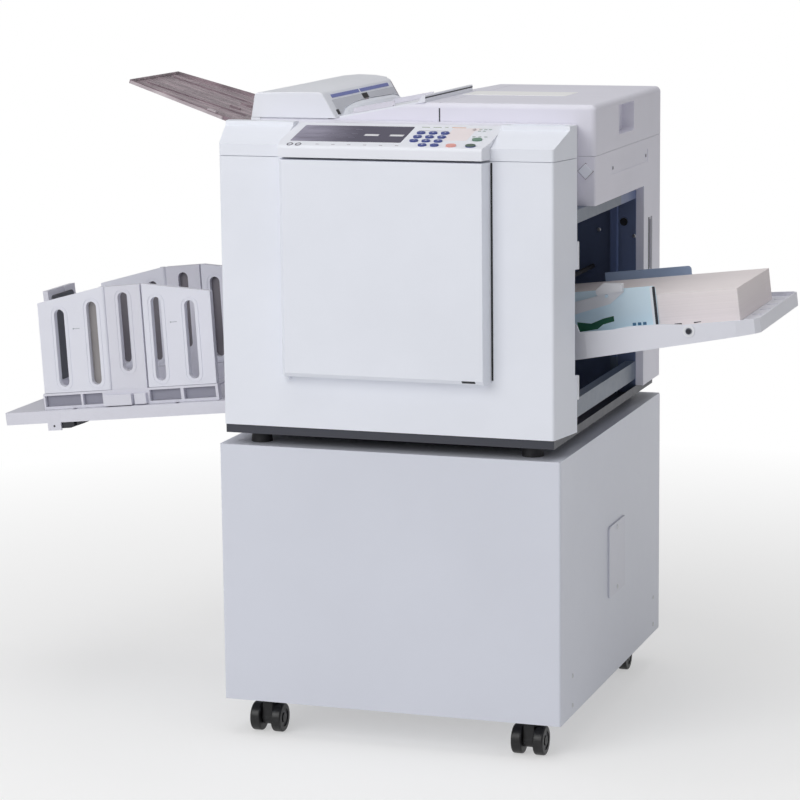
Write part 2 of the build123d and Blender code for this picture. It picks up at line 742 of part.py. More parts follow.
switch_x = -150.0
switch_z = case_z + 60
inlet_x = -200.0
with BuildPart() as rear_cover:
    block((-body_half_w, body_half_w), (bay_back, rear_y), (case_z, scan_z))
    inner = body_half_w - case_wall
    block((-inner, inner), (bay_back + case_wall, rear_y - case_wall), (case_z - 1, scan_z + 1),
          Mode.SUBTRACT)
    open_half = frame_half - bar_w + 4
    block((-open_half, open_half), (bay_back - 1, bay_back + case_wall + 1), (case_z - 1, scan_z + 1),
          Mode.SUBTRACT)
    block((body_half_w - case_wall - 1, body_half_w + 1), (bay_back + 41.5, bay_back + 49.5),
          (case_z + 207, case_z + 297), Mode.SUBTRACT)
    for row in range(8):
        up = case_z + 240 + row * 12
        block((-120, 120), (rear_y - case_wall - 1, rear_y + 1), (up, up + 5), Mode.SUBTRACT)
    block((switch_x - 10, switch_x + 10), (rear_y - 16, rear_y), (switch_z - 14, switch_z + 14))
    block((switch_x - 7, switch_x + 7), (rear_y - 14, rear_y + 1), (switch_z - 11.7, switch_z + 11.7),
          Mode.SUBTRACT)
    with Locations(Location((switch_x, rear_y - 6, switch_z), (0, 90, 0))):
        Cylinder(1.5 + run, 18, mode=Mode.SUBTRACT)
    block((inlet_x - 17, inlet_x + 17), (rear_y - 20, rear_y), (switch_z - 14, switch_z + 14))
    block((inlet_x - 14, inlet_x + 14), (rear_y - 18, rear_y + 1), (switch_z - 11, switch_z + 11),
          Mode.SUBTRACT)
    for pin, up in ((-7, 0), (0, 4), (7, 0)):
        block((inlet_x + pin - 1, inlet_x + pin + 1), (rear_y - 19, rear_y - 4),
              (switch_z + up - 3, switch_z + up + 3))
save(rear_cover, "rear_cover")

rocker = [(-5, -8), (7, -9.5), (4, 0), (7, 9.5), (-5, 8)]
with BuildPart() as power_switch:
    points = [(rear_y - 6 + y, switch_z + z) for y, z in rocker]
    extrude(outline(Plane.YZ.offset(switch_x - 6.7), points), amount=13.4)
    with Locations(Location((switch_x, rear_y - 6, switch_z), (0, 90, 0))):
        Cylinder(1.5, 17)
save(power_switch, "power_switch")

# Scanner housing with the exposure glass
glass_y = scan_y + 190.0
hinge_y = rear_y + hinge_boss + seat
hinge_z = lid_z + hinge_boss
hinge_spots = (-180.0, 200.0)
scan_lid_t = glass_t + 3.0


# A round bar along X between two places
def bar_x(x, y, z, radius, mode=Mode.ADD):
    with Locations(Location(((x[0] + x[1]) / 2, y, z), (0, 90, 0))):
        Cylinder(radius, x[1] - x[0], mode=mode)


with BuildPart() as scanner_housing:
    block((-body_half_w, body_half_w), (scan_y, rear_y), (scan_z, scan_top))
    fillet(scanner_housing.edges().filter_by(Axis.Z).group_by(Axis.Y)[0], 4)
    block((-body_half_w + scan_wall, body_half_w - scan_wall), (scan_y + scan_wall, rear_y - scan_wall),
          (scan_z + scan_wall, scan_top - scan_lid_t), Mode.SUBTRACT)
    block((-glass_w / 2 - seat, glass_w / 2 + seat),
          (glass_y - glass_d / 2 - seat, glass_y + glass_d / 2 + seat),
          (scan_top - glass_t, scan_top + 1), Mode.SUBTRACT)
    block((-glass_w / 2 + 8, glass_w / 2 - 8), (glass_y - glass_d / 2 + 8, glass_y + glass_d / 2 - 8),
          (scan_top - 2 * glass_t, scan_top + 1), Mode.SUBTRACT)
    block((body_half_w - 1.2, body_half_w + 1), (scan_y + 98, scan_y + 360), (scan_z + 42, scan_z + 64),
          Mode.SUBTRACT)
    for spot in (scan_y + 114.5, scan_y + 344.5):
        with BuildSketch(Plane(origin=(body_half_w - 1.2, spot, scan_z + 53), z_dir=(1, 0, 0))):
            Circle(screw_r)
        extrude(amount=1)
    with BuildSketch(Plane(origin=(body_half_w - 14, scan_y, scan_z + 61), x_dir=(1, 0, 0),
                           z_dir=(0, -1, 0))):
        Rectangle(15.5, 15.5, rotation=45)
    extrude(amount=2)
    for x in hinge_spots:
        for side in (-1, 1):
            ear = sorted((x + side * hinge_len * 0.3, x + side * hinge_len / 2))
            bar_x(ear, hinge_y, hinge_z, hinge_boss)
            block(ear, (rear_y - 1, hinge_y + hinge_boss), (scan_top - 16, hinge_z))
            block(ear, (rear_y - 2, hinge_y - hinge_boss), (scan_top - seat, hinge_z + hinge_boss),
                  Mode.SUBTRACT)
        bar_x((x - hinge_len / 2, x + hinge_len / 2), hinge_y, hinge_z, hinge_r)
save(scanner_housing, "scanner_housing")

with BuildPart() as exposure_glass:
    block((-glass_w / 2, glass_w / 2), (glass_y - glass_d / 2, glass_y + glass_d / 2),
          (scan_top - glass_t, scan_top))
save(exposure_glass, "exposure_glass")

# Platen cover: flat on the right, a wedge under the original table, a low flat under the feeder
pad_recess = lid_wall + pad_t
adf_floor = lid_z + adf_seat
wedge_x = table_end - 2
wedge_slope = (lid_h - adf_seat) / (wedge_x - adf_right)


# Height of the wedge under the original table
def wedge(x):
    return adf_floor + wedge_slope * (x - adf_right)


with BuildPart() as platen_cover:
    profile = [(-body_half_w, lid_z), (body_half_w, lid_z), (body_half_w, lid_top), (wedge_x, lid_top),
               (adf_right, adf_floor), (-body_half_w, adf_floor)]
    with BuildSketch(Plane.XZ.offset(-rear_y)) as lid_profile:
        with BuildLine():
            Polyline(*profile, close=True)
        make_face()
        fillet(lid_profile.vertices().sort_by(Axis.X)[-2:].sort_by(Axis.Y)[-1], lid_round)
    extrude(amount=rear_y - scan_y)
    front_top = platen_cover.edges().filter_by(Axis.X).group_by(Axis.Y)[0].group_by(Axis.Z)[-1]
    fillet(front_top, lid_round - 1)
    w = lid_wall
    hollow = [(-body_half_w + w, lid_z + pad_recess), (body_half_w - w - handle_depth, lid_z + pad_recess),
              (body_half_w - w - handle_depth, lid_top - w), (wedge_x, lid_top - w),
              (adf_right, adf_floor - w), (-body_half_w + w, adf_floor - w)]
    extrude(outline(Plane.XZ.offset(-rear_y + w), hollow), amount=rear_y - scan_y - 2 * w - lid_round,
            mode=Mode.SUBTRACT)
    block((-glass_w / 2 - seat, glass_w / 2 + seat),
          (glass_y - glass_d / 2 - seat, glass_y + glass_d / 2 + seat),
          (lid_z - 1, lid_z + pad_t), Mode.SUBTRACT)
    with BuildSketch(Plane.YZ.offset(body_half_w - handle_depth)):
        with Locations((scan_y + (handle_y0 + handle_y1) / 2, lid_z + handle_low + handle_h / 2)):
            RectangleRounded(handle_y1 - handle_y0, handle_h, 6)
    extrude(amount=handle_depth + 1, mode=Mode.SUBTRACT)
    block((lid_split - 0.6, lid_split + 0.6), (scan_y - 1, rear_y + 1), (lid_top - 1, lid_top + 1),
          Mode.SUBTRACT)
    for x in hinge_spots:
        lug = (x - hinge_len * 0.3 + seat, x + hinge_len * 0.3 - seat)
        bar_x(lug, hinge_y, hinge_z, hinge_boss)
        block(lug, (rear_y - 1, hinge_y), (lid_z, hinge_z + hinge_boss))
        bar_x((x - hinge_len / 2, x + hinge_len / 2), hinge_y, hinge_z, hinge_r + run, Mode.SUBTRACT)
save(platen_cover, "platen_cover")

with BuildPart() as platen_pad:
    block((-glass_w / 2, glass_w / 2), (glass_y - glass_d / 2, glass_y + glass_d / 2),
          (lid_z, lid_z + pad_t))
save(platen_pad, "platen_pad")

# Original table: a plate on the wedge with a raised end, and a groove for its guides
table_front = scan_y + table_y0
table_mid = table_front + table_d / 2
guide_slot = (guide_x0 + guide_x1) / 2
wedge_c = math.cos(math.atan(wedge_slope))
wedge_s = math.sin(math.atan(wedge_slope))
table_plane = Plane(origin=(guide_slot, table_mid, wedge(guide_slot) + table_t / wedge_c),
                    x_dir=(wedge_c, 0, wedge_s),
                    z_dir=(-wedge_s, 0, wedge_c))
groove_d = table_t - 1.0
groove_w = 8.0
rise = table_t / wedge_c
with BuildPart() as original_table:
    section = [(table_x0, wedge(table_x0)), (wedge_x, lid_top), (table_end, lid_top),
               (table_end, lid_z + table_ridge),
               (table_end - ridge_w, lid_z + table_ridge),
               (table_end - ridge_w - 7, wedge(table_end - ridge_w - 7) + rise),
               (table_x0, wedge(table_x0) + rise)]
    extrude(outline(Plane.XZ.offset(-table_front - table_d), section), amount=table_d)
    with Locations(table_plane):
        Box(groove_w + 2 * seat, table_d - 16, 2 * groove_d, mode=Mode.SUBTRACT)
save(original_table, "original_table")

for name, side in (("original_guide_front", -1), ("original_guide_rear", 1)):
    with BuildPart(table_plane) as guide:
        inner_y = side * guide_half
        outer_y = side * (guide_half + guide_t)
        sole_y = side * (guide_half + 16)
        half = (guide_x1 - guide_x0) / 2 / wedge_c
        wall_y = (min(inner_y, outer_y), max(inner_y, outer_y))
        block((-half, half), wall_y, (seat, guide_h))
        sole = (min(inner_y, sole_y), max(inner_y, sole_y))
        block((-half, half), sole, (seat, seat + 2))
        block((-groove_w / 2, groove_w / 2), sole, (seat - groove_d, seat + 1))
    save(guide, name)

# Original feeder: base with hinge knuckles, lifting cover, and the tray for read originals
adf_y0 = scan_y
adf_y1 = scan_y + adf_depth
adf_line = lid_z + adf_split
adf_pin_x = adf_left + 6 + adf_hinge_r
adf_pin_z = adf_line + 1.0 + adf_hinge_r
knuckles = [(adf_y0 + 20, adf_y0 + 20 + knuckle), (adf_y1 - 20 - knuckle, adf_y1 - 20)]
tray_c = math.cos(math.radians(tray_angle))
tray_s = math.sin(math.radians(tray_angle))
tray_mid = scan_y + 160.0
tray_plane = Plane(origin=(adf_left, tray_mid, lid_z + tray_h), x_dir=(-tray_c, 0, tray_s),
                   z_dir=(tray_s, 0, tray_c))
tray_tuck = 7.0
adf_reach = 1.0     # overhang's gap to the lid's left face
with BuildPart() as adf_body:
    base = [(adf_left, lid_z + adf_drop), (-body_half_w - adf_reach, lid_z + adf_drop),
            (-body_half_w - adf_reach, adf_floor), (adf_right, adf_floor), (adf_right - 4, adf_line),
            (adf_left, adf_line)]
    extrude(outline(Plane.XZ.offset(-adf_y1), base), amount=adf_depth)
    core = [(adf_left + 14, adf_floor + adf_wall), (adf_right - 24, adf_floor + adf_wall),
            (adf_right - 24, adf_line + 1), (adf_left + 26, adf_line + 1),
            (adf_left + 26, adf_floor + adf_wall)]
    extrude(outline(Plane.XZ.offset(-adf_y1 + 14), core[1:]), amount=adf_depth - 28, mode=Mode.SUBTRACT)
    for y0, y1 in knuckles:
        bar_y(adf_pin_x, (y0, y1), adf_pin_z, adf_hinge_r - seat)
        block((adf_pin_x - 4, adf_pin_x + 4), (y0, y1), (adf_line - 1, adf_pin_z))
        bar_y(adf_pin_x, (y0 - 7, y1 + 7), adf_pin_z, adf_pin_r)
    with Locations(tray_plane * Pos(0, 0, (tray_t + tray_rim) / 2)):
        Box(2 * tray_tuck + 2 * seat, tray_root_w + 2 * seat, tray_t + tray_rim + 2 * seat,
            mode=Mode.SUBTRACT)
save(adf_body, "adf_body")

adf_top_z = lid_z + adf_front_h
with BuildPart() as adf_cover:
    x_left = adf_left + 6
    low = adf_line + 1.0
    cover_right = adf_right - 6
    cover_profile = [(x_left, low), (cover_right, low), (cover_right - adf_lap, adf_top_z),
                     (x_left + 26, adf_top_z - 5), (x_left, adf_top_z - 9)]
    with BuildSketch(Plane.XZ.offset(-adf_y1)) as hood:
        with BuildLine():
            Polyline(*cover_profile, close=True)
        make_face()
        lows = hood.vertices().group_by(Axis.Y)[0].sort_by(Axis.X)
        fillet(lows[0], adf_hinge_r)
    extrude(amount=adf_depth)
    t = adf_wall
    inside = [(x_left + t, low - 1), (cover_right - t - 1, low - 1),
              (cover_right - adf_lap - t, adf_top_z - t),
              (x_left + 26, adf_top_z - 5 - t), (x_left + t, adf_top_z - 9 - t)]
    extrude(outline(Plane.XZ.offset(-adf_y1 + t), inside), amount=adf_depth - 2 * t, mode=Mode.SUBTRACT)
    for y0, y1 in knuckles:
        bar_y(adf_pin_x, (y0 - 10, y1 + 10), adf_pin_z, adf_hinge_r)
        bar_y(adf_pin_x, (y0 - seat, y1 + seat), adf_pin_z, adf_hinge_r + 2 * seat, Mode.SUBTRACT)
        bar_y(adf_pin_x, (y0 - 8, y1 + 8), adf_pin_z, adf_pin_r + run, Mode.SUBTRACT)
        block((x_left - 1, adf_pin_x + adf_hinge_r), (y0 - seat, y1 + seat), (low - 1, adf_pin_z),
              Mode.SUBTRACT)
save(adf_cover, "adf_cover")

half0 = tray_root_w / 2
half1 = tray_tip_w / 2
sheet = [(-tray_tuck, -half0), (20, -half0), (tray_len, -half1), (tray_len, half1), (20, half0),
         (-tray_tuck, half0)]
inner_sheet = [(x if x < 0 else x - tray_t, y - math.copysign(tray_t, y)) for x, y in sheet]
with BuildPart() as original_tray:
    extrude(outline(tray_plane, sheet), amount=tray_t + tray_rim)
    extrude(outline(tray_plane.offset(tray_t), inner_sheet), amount=tray_rim + 1, mode=Mode.SUBTRACT)
    with Locations(tray_plane):
        with Locations((2, 0, tray_t + tray_rim)):
            Box(2 * tray_tuck + 6, tray_root_w - 2 * tray_t, 2 * tray_rim, mode=Mode.SUBTRACT)
        with Locations((51, -28, tray_t + 1), (51, 28, tray_t + 1)):
            Box(22, 4, 4)
save(original_tray, "original_tray")

# Drum with its recessed clamp, and the front flange that carries it
drum_y = (paper_y - drum_len / 2, paper_y + drum_len / 2)
frame_back = rear_frame_y + frame_t
grip_z = drum_z + grip_up
grip_y = front_frame_y - grip_out
with BuildPart() as drum_flange:
    bar_y(0, (front_frame_y - 4, front_frame_y), drum_z, drum_r + drum_hole + 8)
    bar_y(0, (front_frame_y - 14, front_frame_y), drum_z, hub_r)
    for x in (-grip_half, grip_half):
        bar_y(x, (grip_y, front_frame_y), grip_z, grip_r - 2)
    bar_x((-grip_half - grip_r, grip_half + grip_r), grip_y, grip_z, grip_r)
    bar_y(0, (front_frame_y - 15, front_frame_y + 1), drum_z, drum_shaft_r + run, Mode.SUBTRACT)
save(drum_flange, "drum_flange")

clamp_c = math.cos(math.radians(clamp_angle))
clamp_s = math.sin(math.radians(clamp_angle))
clamp_plane = Plane(origin=(clamp_s * drum_r, paper_y, drum_z + clamp_c * drum_r),
                    x_dir=(clamp_c, 0, -clamp_s), z_dir=(clamp_s, 0, clamp_c))
with BuildPart() as drum:
    bar_y(0, drum_y, drum_z, drum_r)
    bar_y(0, (drum_y[0] + 5, drum_y[1] - 5), drum_z, drum_r - drum_wall, Mode.SUBTRACT)
    bar_y(0, (front_frame_y - 12, frame_back + 6), drum_z, drum_shaft_r)
    with Locations(clamp_plane):
        Box(28, drum_len - 30, 5.2, mode=Mode.SUBTRACT)
        with Locations((0, 0, -1.8)):
            Box(22, drum_len - 38, 2)
save(drum, "drum")

with BuildPart() as press_roller:
    bar_y(0, (paper_y - press_len / 2, paper_y + press_len / 2), press_z, press_r)
    bar_y(0, (front_frame_y - 3, frame_back + 3), press_z, press_shaft_r)
save(press_roller, "press_roller")

with BuildPart() as feed_roller:
    bar_y(feed_axis_x, (paper_y - feed_len / 2, paper_y + feed_len / 2), feed_axis_z, feed_r)
    bar_y(feed_axis_x, (front_frame_y - 3, frame_back + 3), feed_axis_z, feed_shaft_r)
save(feed_roller, "feed_roller")

# Feed table: a tapering tray that rides up and down on two posts
feed_side = Plane(origin=feed_plane.origin, x_dir=(feed_c, 0, feed_s), z_dir=(0, -1, 0))
edge_line = [(-feed_tail, feed_half), (70, feed_half), (162, feed_half - 7.5), (258, feed_half - 15.5),
             (319, feed_half - 24.5), (feed_len_x - 8, feed_half_end + 5), (feed_len_x, feed_half_end - 5)]
rim_line = [(-feed_tail - 5, feed_cheek), (50, feed_cheek), (58, feed_cheek - 6), (61, feed_rim - 2.5),
            (115, feed_rim - 3), (142, feed_rim), (200, feed_rim - 1), (235, feed_rim_end + 1.5),
            (feed_len_x + 5, feed_rim_end)]
feed_shape = edge_line + [(x, -y) for x, y in reversed(edge_line)]
sole_w = 22.5
tongue_x0 = 100.0
tongue_w = 10.0
sole_z = 2.0
button_x = 242.5
button_y = -(feed_half - 7.5 - (button_x - 162) * 8 / 96)


# Plan of the feed table at a height above its bed
def feed_plan(z, inset):
    with BuildSketch(feed_plane.offset(z)) as face:
        with BuildLine():
            Polyline(*feed_shape, close=True)
        make_face()
        if inset:
            offset(amount=-inset, kind=Kind.INTERSECTION, mode=Mode.REPLACE)
    return face.sketch


# World place of a point given in the feed table's own directions
def on_feed(x, y, z):
    return (feed_x + x * feed_c - z * feed_s, paper_y + y, case_z + feed_bed + x * feed_s + z * feed_c)


wall_run = math.hypot(96, 8)
button_out = (8 / wall_run * feed_c, -96 / wall_run, 8 / wall_run * feed_s)
button_plane = Plane(origin=on_feed(button_x, button_y, -3), z_dir=button_out)


def button_disc(radius, depth):
    with BuildSketch(button_plane.offset(depth)) as face:
        Circle(radius)
    return face.sketch


with BuildPart() as feed_table:
    extrude(feed_plan(-feed_deep, 0), amount=feed_deep + feed_cheek)
    extrude(feed_plan(0, feed_wall), amount=feed_cheek + 1, mode=Mode.SUBTRACT)
    over = rim_line + [(feed_len_x + 5, feed_cheek + 9), (-feed_tail - 5, feed_cheek + 9)]
    extrude(outline(feed_side.offset(-feed_half - 5), over), amount=2 * feed_half + 10, mode=Mode.SUBTRACT)
    extrude(feed_plan(-feed_deep - 1, feed_wall), amount=feed_deep + 1 - feed_wall, mode=Mode.SUBTRACT)
    extrude(button_disc(8, -0.5), amount=-14)
    extrude(button_disc(button_r + run, 1), amount=-12, mode=Mode.SUBTRACT)
    under = [(-feed_tail - 5, -feed_deep), (0, -feed_deep), (feed_len_x + 5, -feed_deep_end),
             (feed_len_x + 5, -feed_deep - 9), (-feed_tail - 5, -feed_deep - 9)]
    extrude(outline(feed_side.offset(-feed_half - 5), under), amount=2 * feed_half + 10, mode=Mode.SUBTRACT)
    slot_y0 = paper_half - 1
    slot_y1 = paper_half + seat + sole_w + fence_travel + 1
    for side in (-1, 1):
        with Locations(feed_plane):
            with Locations((tongue_x0 + tongue_w / 2, side * (slot_y0 + slot_y1) / 2, 0)):
                Box(tongue_w + 2 * seat, slot_y1 - slot_y0, 3 * feed_wall, mode=Mode.SUBTRACT)
        near = paper_y + side * (feed_half - 3)
        far = paper_y + side * (post_y + post_w / 2 + seat + 4)
        ear = post_w / 2 + seat + 4
        block((post_x - ear, post_x + ear), (min(near, far), max(near, far)),
              (case_z + feed_bed - 30, case_z + feed_bed + 8))
        mid_y = paper_y + side * post_y
        hole = post_w / 2 + seat
        block((post_x - hole, post_x + hole), (mid_y - hole, mid_y + hole), (case_z + 90, case_z + 170),
              Mode.SUBTRACT)
    with Locations(feed_plane):
        with Locations((feed_wall / 2 - feed_tail, 0, feed_cheek)):
            Box(feed_wall + 3, 2 * paper_half + 43, 2 * feed_cheek, mode=Mode.SUBTRACT)
save(feed_table, "feed_table")

with BuildPart() as paper_stack:
    with Locations(feed_plane):
        with Locations((ream_x + ream_l / 2, 0, seat + ream_h / 2)):
            Box(ream_l, 2 * paper_half, ream_h)
save(paper_stack, "paper_stack")

lever_at = (97.0, fence_h - 10)
lever_x, _, lever_z = on_feed(lever_at[0], 0, lever_at[1])
lever_y = paper_y - paper_half - seat - fence_t
for name, side in (("feed_fence_front", -1), ("feed_fence_rear", 1)):
    with BuildPart() as fence:
        inner_y = side * (paper_half + seat)
        for reach, x0, x1, z0, z1 in ((fence_t, fence_x0, fence_x1, seat, fence_h),
                                      (sole_w, fence_x0, fence_x1, seat, seat + sole_z),
                                      (sole_w, tongue_x0, tongue_x0 + tongue_w, -3.5, 1)):
            with Locations(feed_plane):
                with Locations(((x0 + x1) / 2, inner_y + side * reach / 2, (z0 + z1) / 2)):
                    Box(x1 - x0, reach, z1 - z0)
        for edge in fence.edges().filter_by(Axis.Y).group_by(Axis.Z)[-1]:
            fillet(edge, 6)
        if side < 0:
            bar_y(lever_x, (lever_y - 8, lever_y + 1), lever_z, lever_pin_r)
    save(fence, name)

lever_line = [(-72, -30), (-72, -9), (-16, 1), (-16, 12), (-2, 22), (30, 19), (29, 4), (19, -3), (4, -14)]
grip_line = [(-16, 3), (-16, 12), (-2, 22), (30, 19), (29, 7)]
with BuildPart() as fence_lock_lever:
    lever_face = feed_side.offset(paper_y - lever_y + seat)
    for points, radius, reach in ((lever_line, 2, lever_t), (grip_line, 3, 3 * lever_t)):
        extrude(outline(lever_face, [(lever_at[0] + x, lever_at[1] + z) for x, z in points], radius),
                amount=reach)
    bar_y(lever_x, (lever_y - 20, lever_y), lever_z, lever_pin_r + run, Mode.SUBTRACT)
save(fence_lock_lever, "fence_lock_lever")

with BuildPart() as tray_down_button:
    extrude(button_disc(button_r, 3), amount=-11.5)
save(tray_down_button, "tray_down_button")

# Delivery table, its side plates with hinged wings, its end plate and the lock lever
deliv_c = math.cos(math.radians(deliv_angle))
deliv_s = math.sin(math.radians(deliv_angle))
deliv_origin = (-body_half_w, paper_y, case_z + deliv_root)
deliv_plane = Plane(origin=deliv_origin, x_dir=(deliv_c, 0, deliv_s), z_dir=(-deliv_s, 0, deliv_c))
deliv_side = Plane(origin=deliv_origin, x_dir=(deliv_c, 0, deliv_s), z_dir=(0, -1, 0))
groove_xs = (-150.0, -350.0)
rail_half = 4.0
rail_deep = 3.0
deliv_skin = 6.0


# A block in the delivery table's own directions
def deliv_block(x, y, z, mode=Mode.ADD):
    with Locations(deliv_plane):
        with Locations(((x[0] + x[1]) / 2, (y[0] + y[1]) / 2, (z[0] + z[1]) / 2)):
            Box(x[1] - x[0], y[1] - y[0], z[1] - z[0], mode=mode)


slot_out = end_x - 20 - 10.5
slot_in = end_x + end_travel + 10.5
latch_x = -391.0
latch_z = -deliv_t - 6.0
latch_r = 5.4
latch_y = (-deliv_half + 4, -deliv_half + 36)
with BuildPart() as delivery_table:
    with BuildSketch(deliv_plane.offset(-deliv_t)) as deliv_face:
        with Locations(((3 - deliv_len) / 2, 0)):
            Rectangle(deliv_len + 3, 2 * deliv_half)
        fillet(deliv_face.vertices().group_by(Axis.X)[0], 6)
    extrude(amount=deliv_t)
    deliv_block((-deliv_len + deliv_wall, -deliv_wall - 3),
                (-deliv_half + deliv_wall, deliv_half - deliv_wall),
                (-deliv_t - 1, -deliv_skin), Mode.SUBTRACT)
    deliv_block((slot_out, slot_in), (-6 - seat, 6 + seat), (-deliv_t, 1), Mode.SUBTRACT)
    for x in groove_xs:
        deliv_block((x - rail_half, x + rail_half), (-deliv_half + 2, deliv_half - 2), (-rail_deep, 1),
                    Mode.SUBTRACT)
    for y0, y1 in ((latch_y[0] - seat - 4, latch_y[0] - seat), (latch_y[1] + seat, latch_y[1] + seat + 4)):
        deliv_block((latch_x - 13, latch_x + 13), (y0, y1), (latch_z - 8, -deliv_skin + 1))
    with BuildSketch(deliv_side.offset(deliv_half + 1)):
        with Locations((latch_x, latch_z)):
            Circle(latch_pin_r + run)
    extrude(amount=-60, mode=Mode.SUBTRACT)
    block((-body_half_w, -body_half_w + 20), (paper_y - deliv_half - 5, paper_y + deliv_half + 5),
          (case_z - 60, case_z + 60), Mode.SUBTRACT)
save(delivery_table, "delivery_table")

with BuildPart() as end_lock_lever:
    depth = -latch_y[0]
    with BuildSketch(deliv_side.offset(depth)) as latch_face:
        with BuildLine():
            Polyline((latch_x, latch_z + latch_r), (latch_x + 58, latch_z + latch_r),
                     (latch_x + 58, latch_z + 2),
                     (latch_x + 30, latch_z - latch_r), (latch_x, latch_z - latch_r), close=True)
        make_face()
        with Locations((latch_x, latch_z)):
            Circle(latch_r)
    extrude(amount=latch_y[0] - latch_y[1])
    deliv_block((latch_x + 37, latch_x + 43), (latch_y[0] - 1, latch_y[0] + 8), (latch_z - 9, latch_z + 9),
                Mode.SUBTRACT)
    with BuildSketch(deliv_side.offset(depth + seat + 4)):
        with Locations((latch_x, latch_z)):
            Circle(latch_pin_r)
    extrude(amount=latch_y[0] - latch_y[1] - 2 * seat - 8)
save(end_lock_lever, "end_lock_lever")

# Place on a panel: its uprights lean, its foot and the table stay in line
lean = math.tan(math.radians(plate_lean))


def leaned(x, z):
    return (x + lean * (z - rail_base_h), z)


# A panel between two uprights, with a height at each, on one side of the table
def lean_panel(side, near, far):
    start = deliv_side.offset(-side * plate_mid - plate_t / 2)
    points = [leaned(*near[:2]), leaned(near[0], near[2]), leaned(far[0], far[2]), leaned(*far[:2])]
    extrude(outline(start, points), amount=plate_t)


# A slot through both panels of a pair, along the uprights
def lean_slot(x, low, high):
    with BuildSketch(deliv_side.offset(-deliv_half)) as face:
        with Locations(leaned(x, (low + high) / 2)):
            SlotOverall(high - low, slot_w, rotation=90 - plate_lean)
    extrude(face.sketch, amount=2 * deliv_half, mode=Mode.SUBTRACT)


# A round pin along the uprights
def lean_pin(x, side, z, radius, mode=Mode.ADD):
    mid = leaned(x, (z[0] + z[1]) / 2)
    with Locations(deliv_plane):
        with Locations(Location((mid[0], side * plate_mid, mid[1]), (0, plate_lean, 0))):
            Cylinder(radius, z[1] - z[0], mode=mode)


strip_x = (middle_x - middle_w / 2 - wing_gap - wing_w - 3, middle_x + middle_w / 2 + wing_gap + wing_w + 2)
strip_t = plate_t + 2.0
plate_mid = paper_half + strip_t / 2
panel_top = rail_base_h + plate_h
wing_low = rail_base_h + 2 * seat
pin_off = middle_w / 2 + wing_gap + plate_t / 2
slot_first = 28.0
slot_pitch = 64.0
pocket_xs = ((-168, -97), (-93, -54), (38, 98), (104, 165))
for name, side in (("side_plate_front", -1), ("side_plate_rear", 1)):
    with BuildPart() as side_plate:
        strip = sorted((side * paper_half, side * (paper_half + strip_t)))
        outer = side * (paper_half + strip_t)
        deliv_block(strip_x, strip, (seat, rail_base_h))
        lean_panel(side, (middle_x - middle_w / 2, rail_base_h - 1, panel_top),
                   (middle_x + middle_w / 2, rail_base_h - 1, panel_top))
        for x in groove_xs:
            lug = sorted((side * paper_half, side * (paper_half + 5.5)))
            deliv_block((x - rail_half + seat, x + rail_half - seat), lug, (-rail_deep + seat, 1))
        for turn in (-1, 1):
            lean_pin(middle_x + turn * pin_off, side, (rail_base_h - 1, rail_base_h + 14), wing_pin_r)
        for x0, x1 in pocket_xs:
            deliv_block((middle_x + x0, middle_x + x1), sorted((outer - side * (strip_t - 4), outer + side)),
                        (5, rail_base_h - 4), Mode.SUBTRACT)
        lean_slot(middle_x, rail_base_h + slot_low_mid, panel_top - slot_top_mid)
        if side < 0:
            knob = (outer - 11, outer)
            deliv_block((middle_x - 49, middle_x + 6), knob, (2, rail_base_h - 8))
            deliv_block((middle_x + 11, middle_x + 33), (outer - 8, outer), (2, rail_base_h - 8))
    save(side_plate, name)

wing_list = [("wing_front_left", -1, -1), ("wing_front_right", -1, 1), ("wing_rear_left", 1, -1),
             ("wing_rear_right", 1, 1)]
for name, side, turn in wing_list:
    pivot_x = middle_x + turn * pin_off
    near_x = middle_x + turn * (middle_w / 2 + wing_gap)
    far_x = near_x + turn * wing_w
    with BuildPart() as wing:
        lean_panel(side, (pivot_x, wing_low, panel_top), (far_x, wing_low, panel_top - plate_drop))
        lean_pin(pivot_x, side, (wing_low, panel_top), plate_t / 2)
        for step in (0, 1):
            away = slot_first + step * slot_pitch
            lean_slot(near_x + turn * away, rail_base_h + slot_low,
                      panel_top - plate_drop * away / wing_w - slot_top)
        lean_pin(pivot_x, side, (rail_base_h, rail_base_h + 15), wing_pin_r + run, Mode.SUBTRACT)
    save(wing, name)

with BuildPart() as end_plate:
    deliv_block((end_x - end_t / 2, end_x + end_t / 2), (-end_w / 2, end_w / 2), (17, end_h))
    deliv_block((end_x - 15, end_x + 15), (-40, 40), (seat, 18))
    deliv_block((end_x - 10, end_x + 10), (-6, 6), (-deliv_skin - seat, 1))
    deliv_block((end_x - 10, end_x + 10), (-12, 12), (-deliv_skin - seat - 3.5, -deliv_skin - seat))
    deliv_block((end_x + end_t / 2 - 2, end_x + end_t / 2 + 1), (-14, 14), (end_h - 40, end_h + 1),
                Mode.SUBTRACT)
save(end_plate, "end_plate")
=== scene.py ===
import json
import math
import bmesh
import bpy
from mathutils import Matrix, Vector


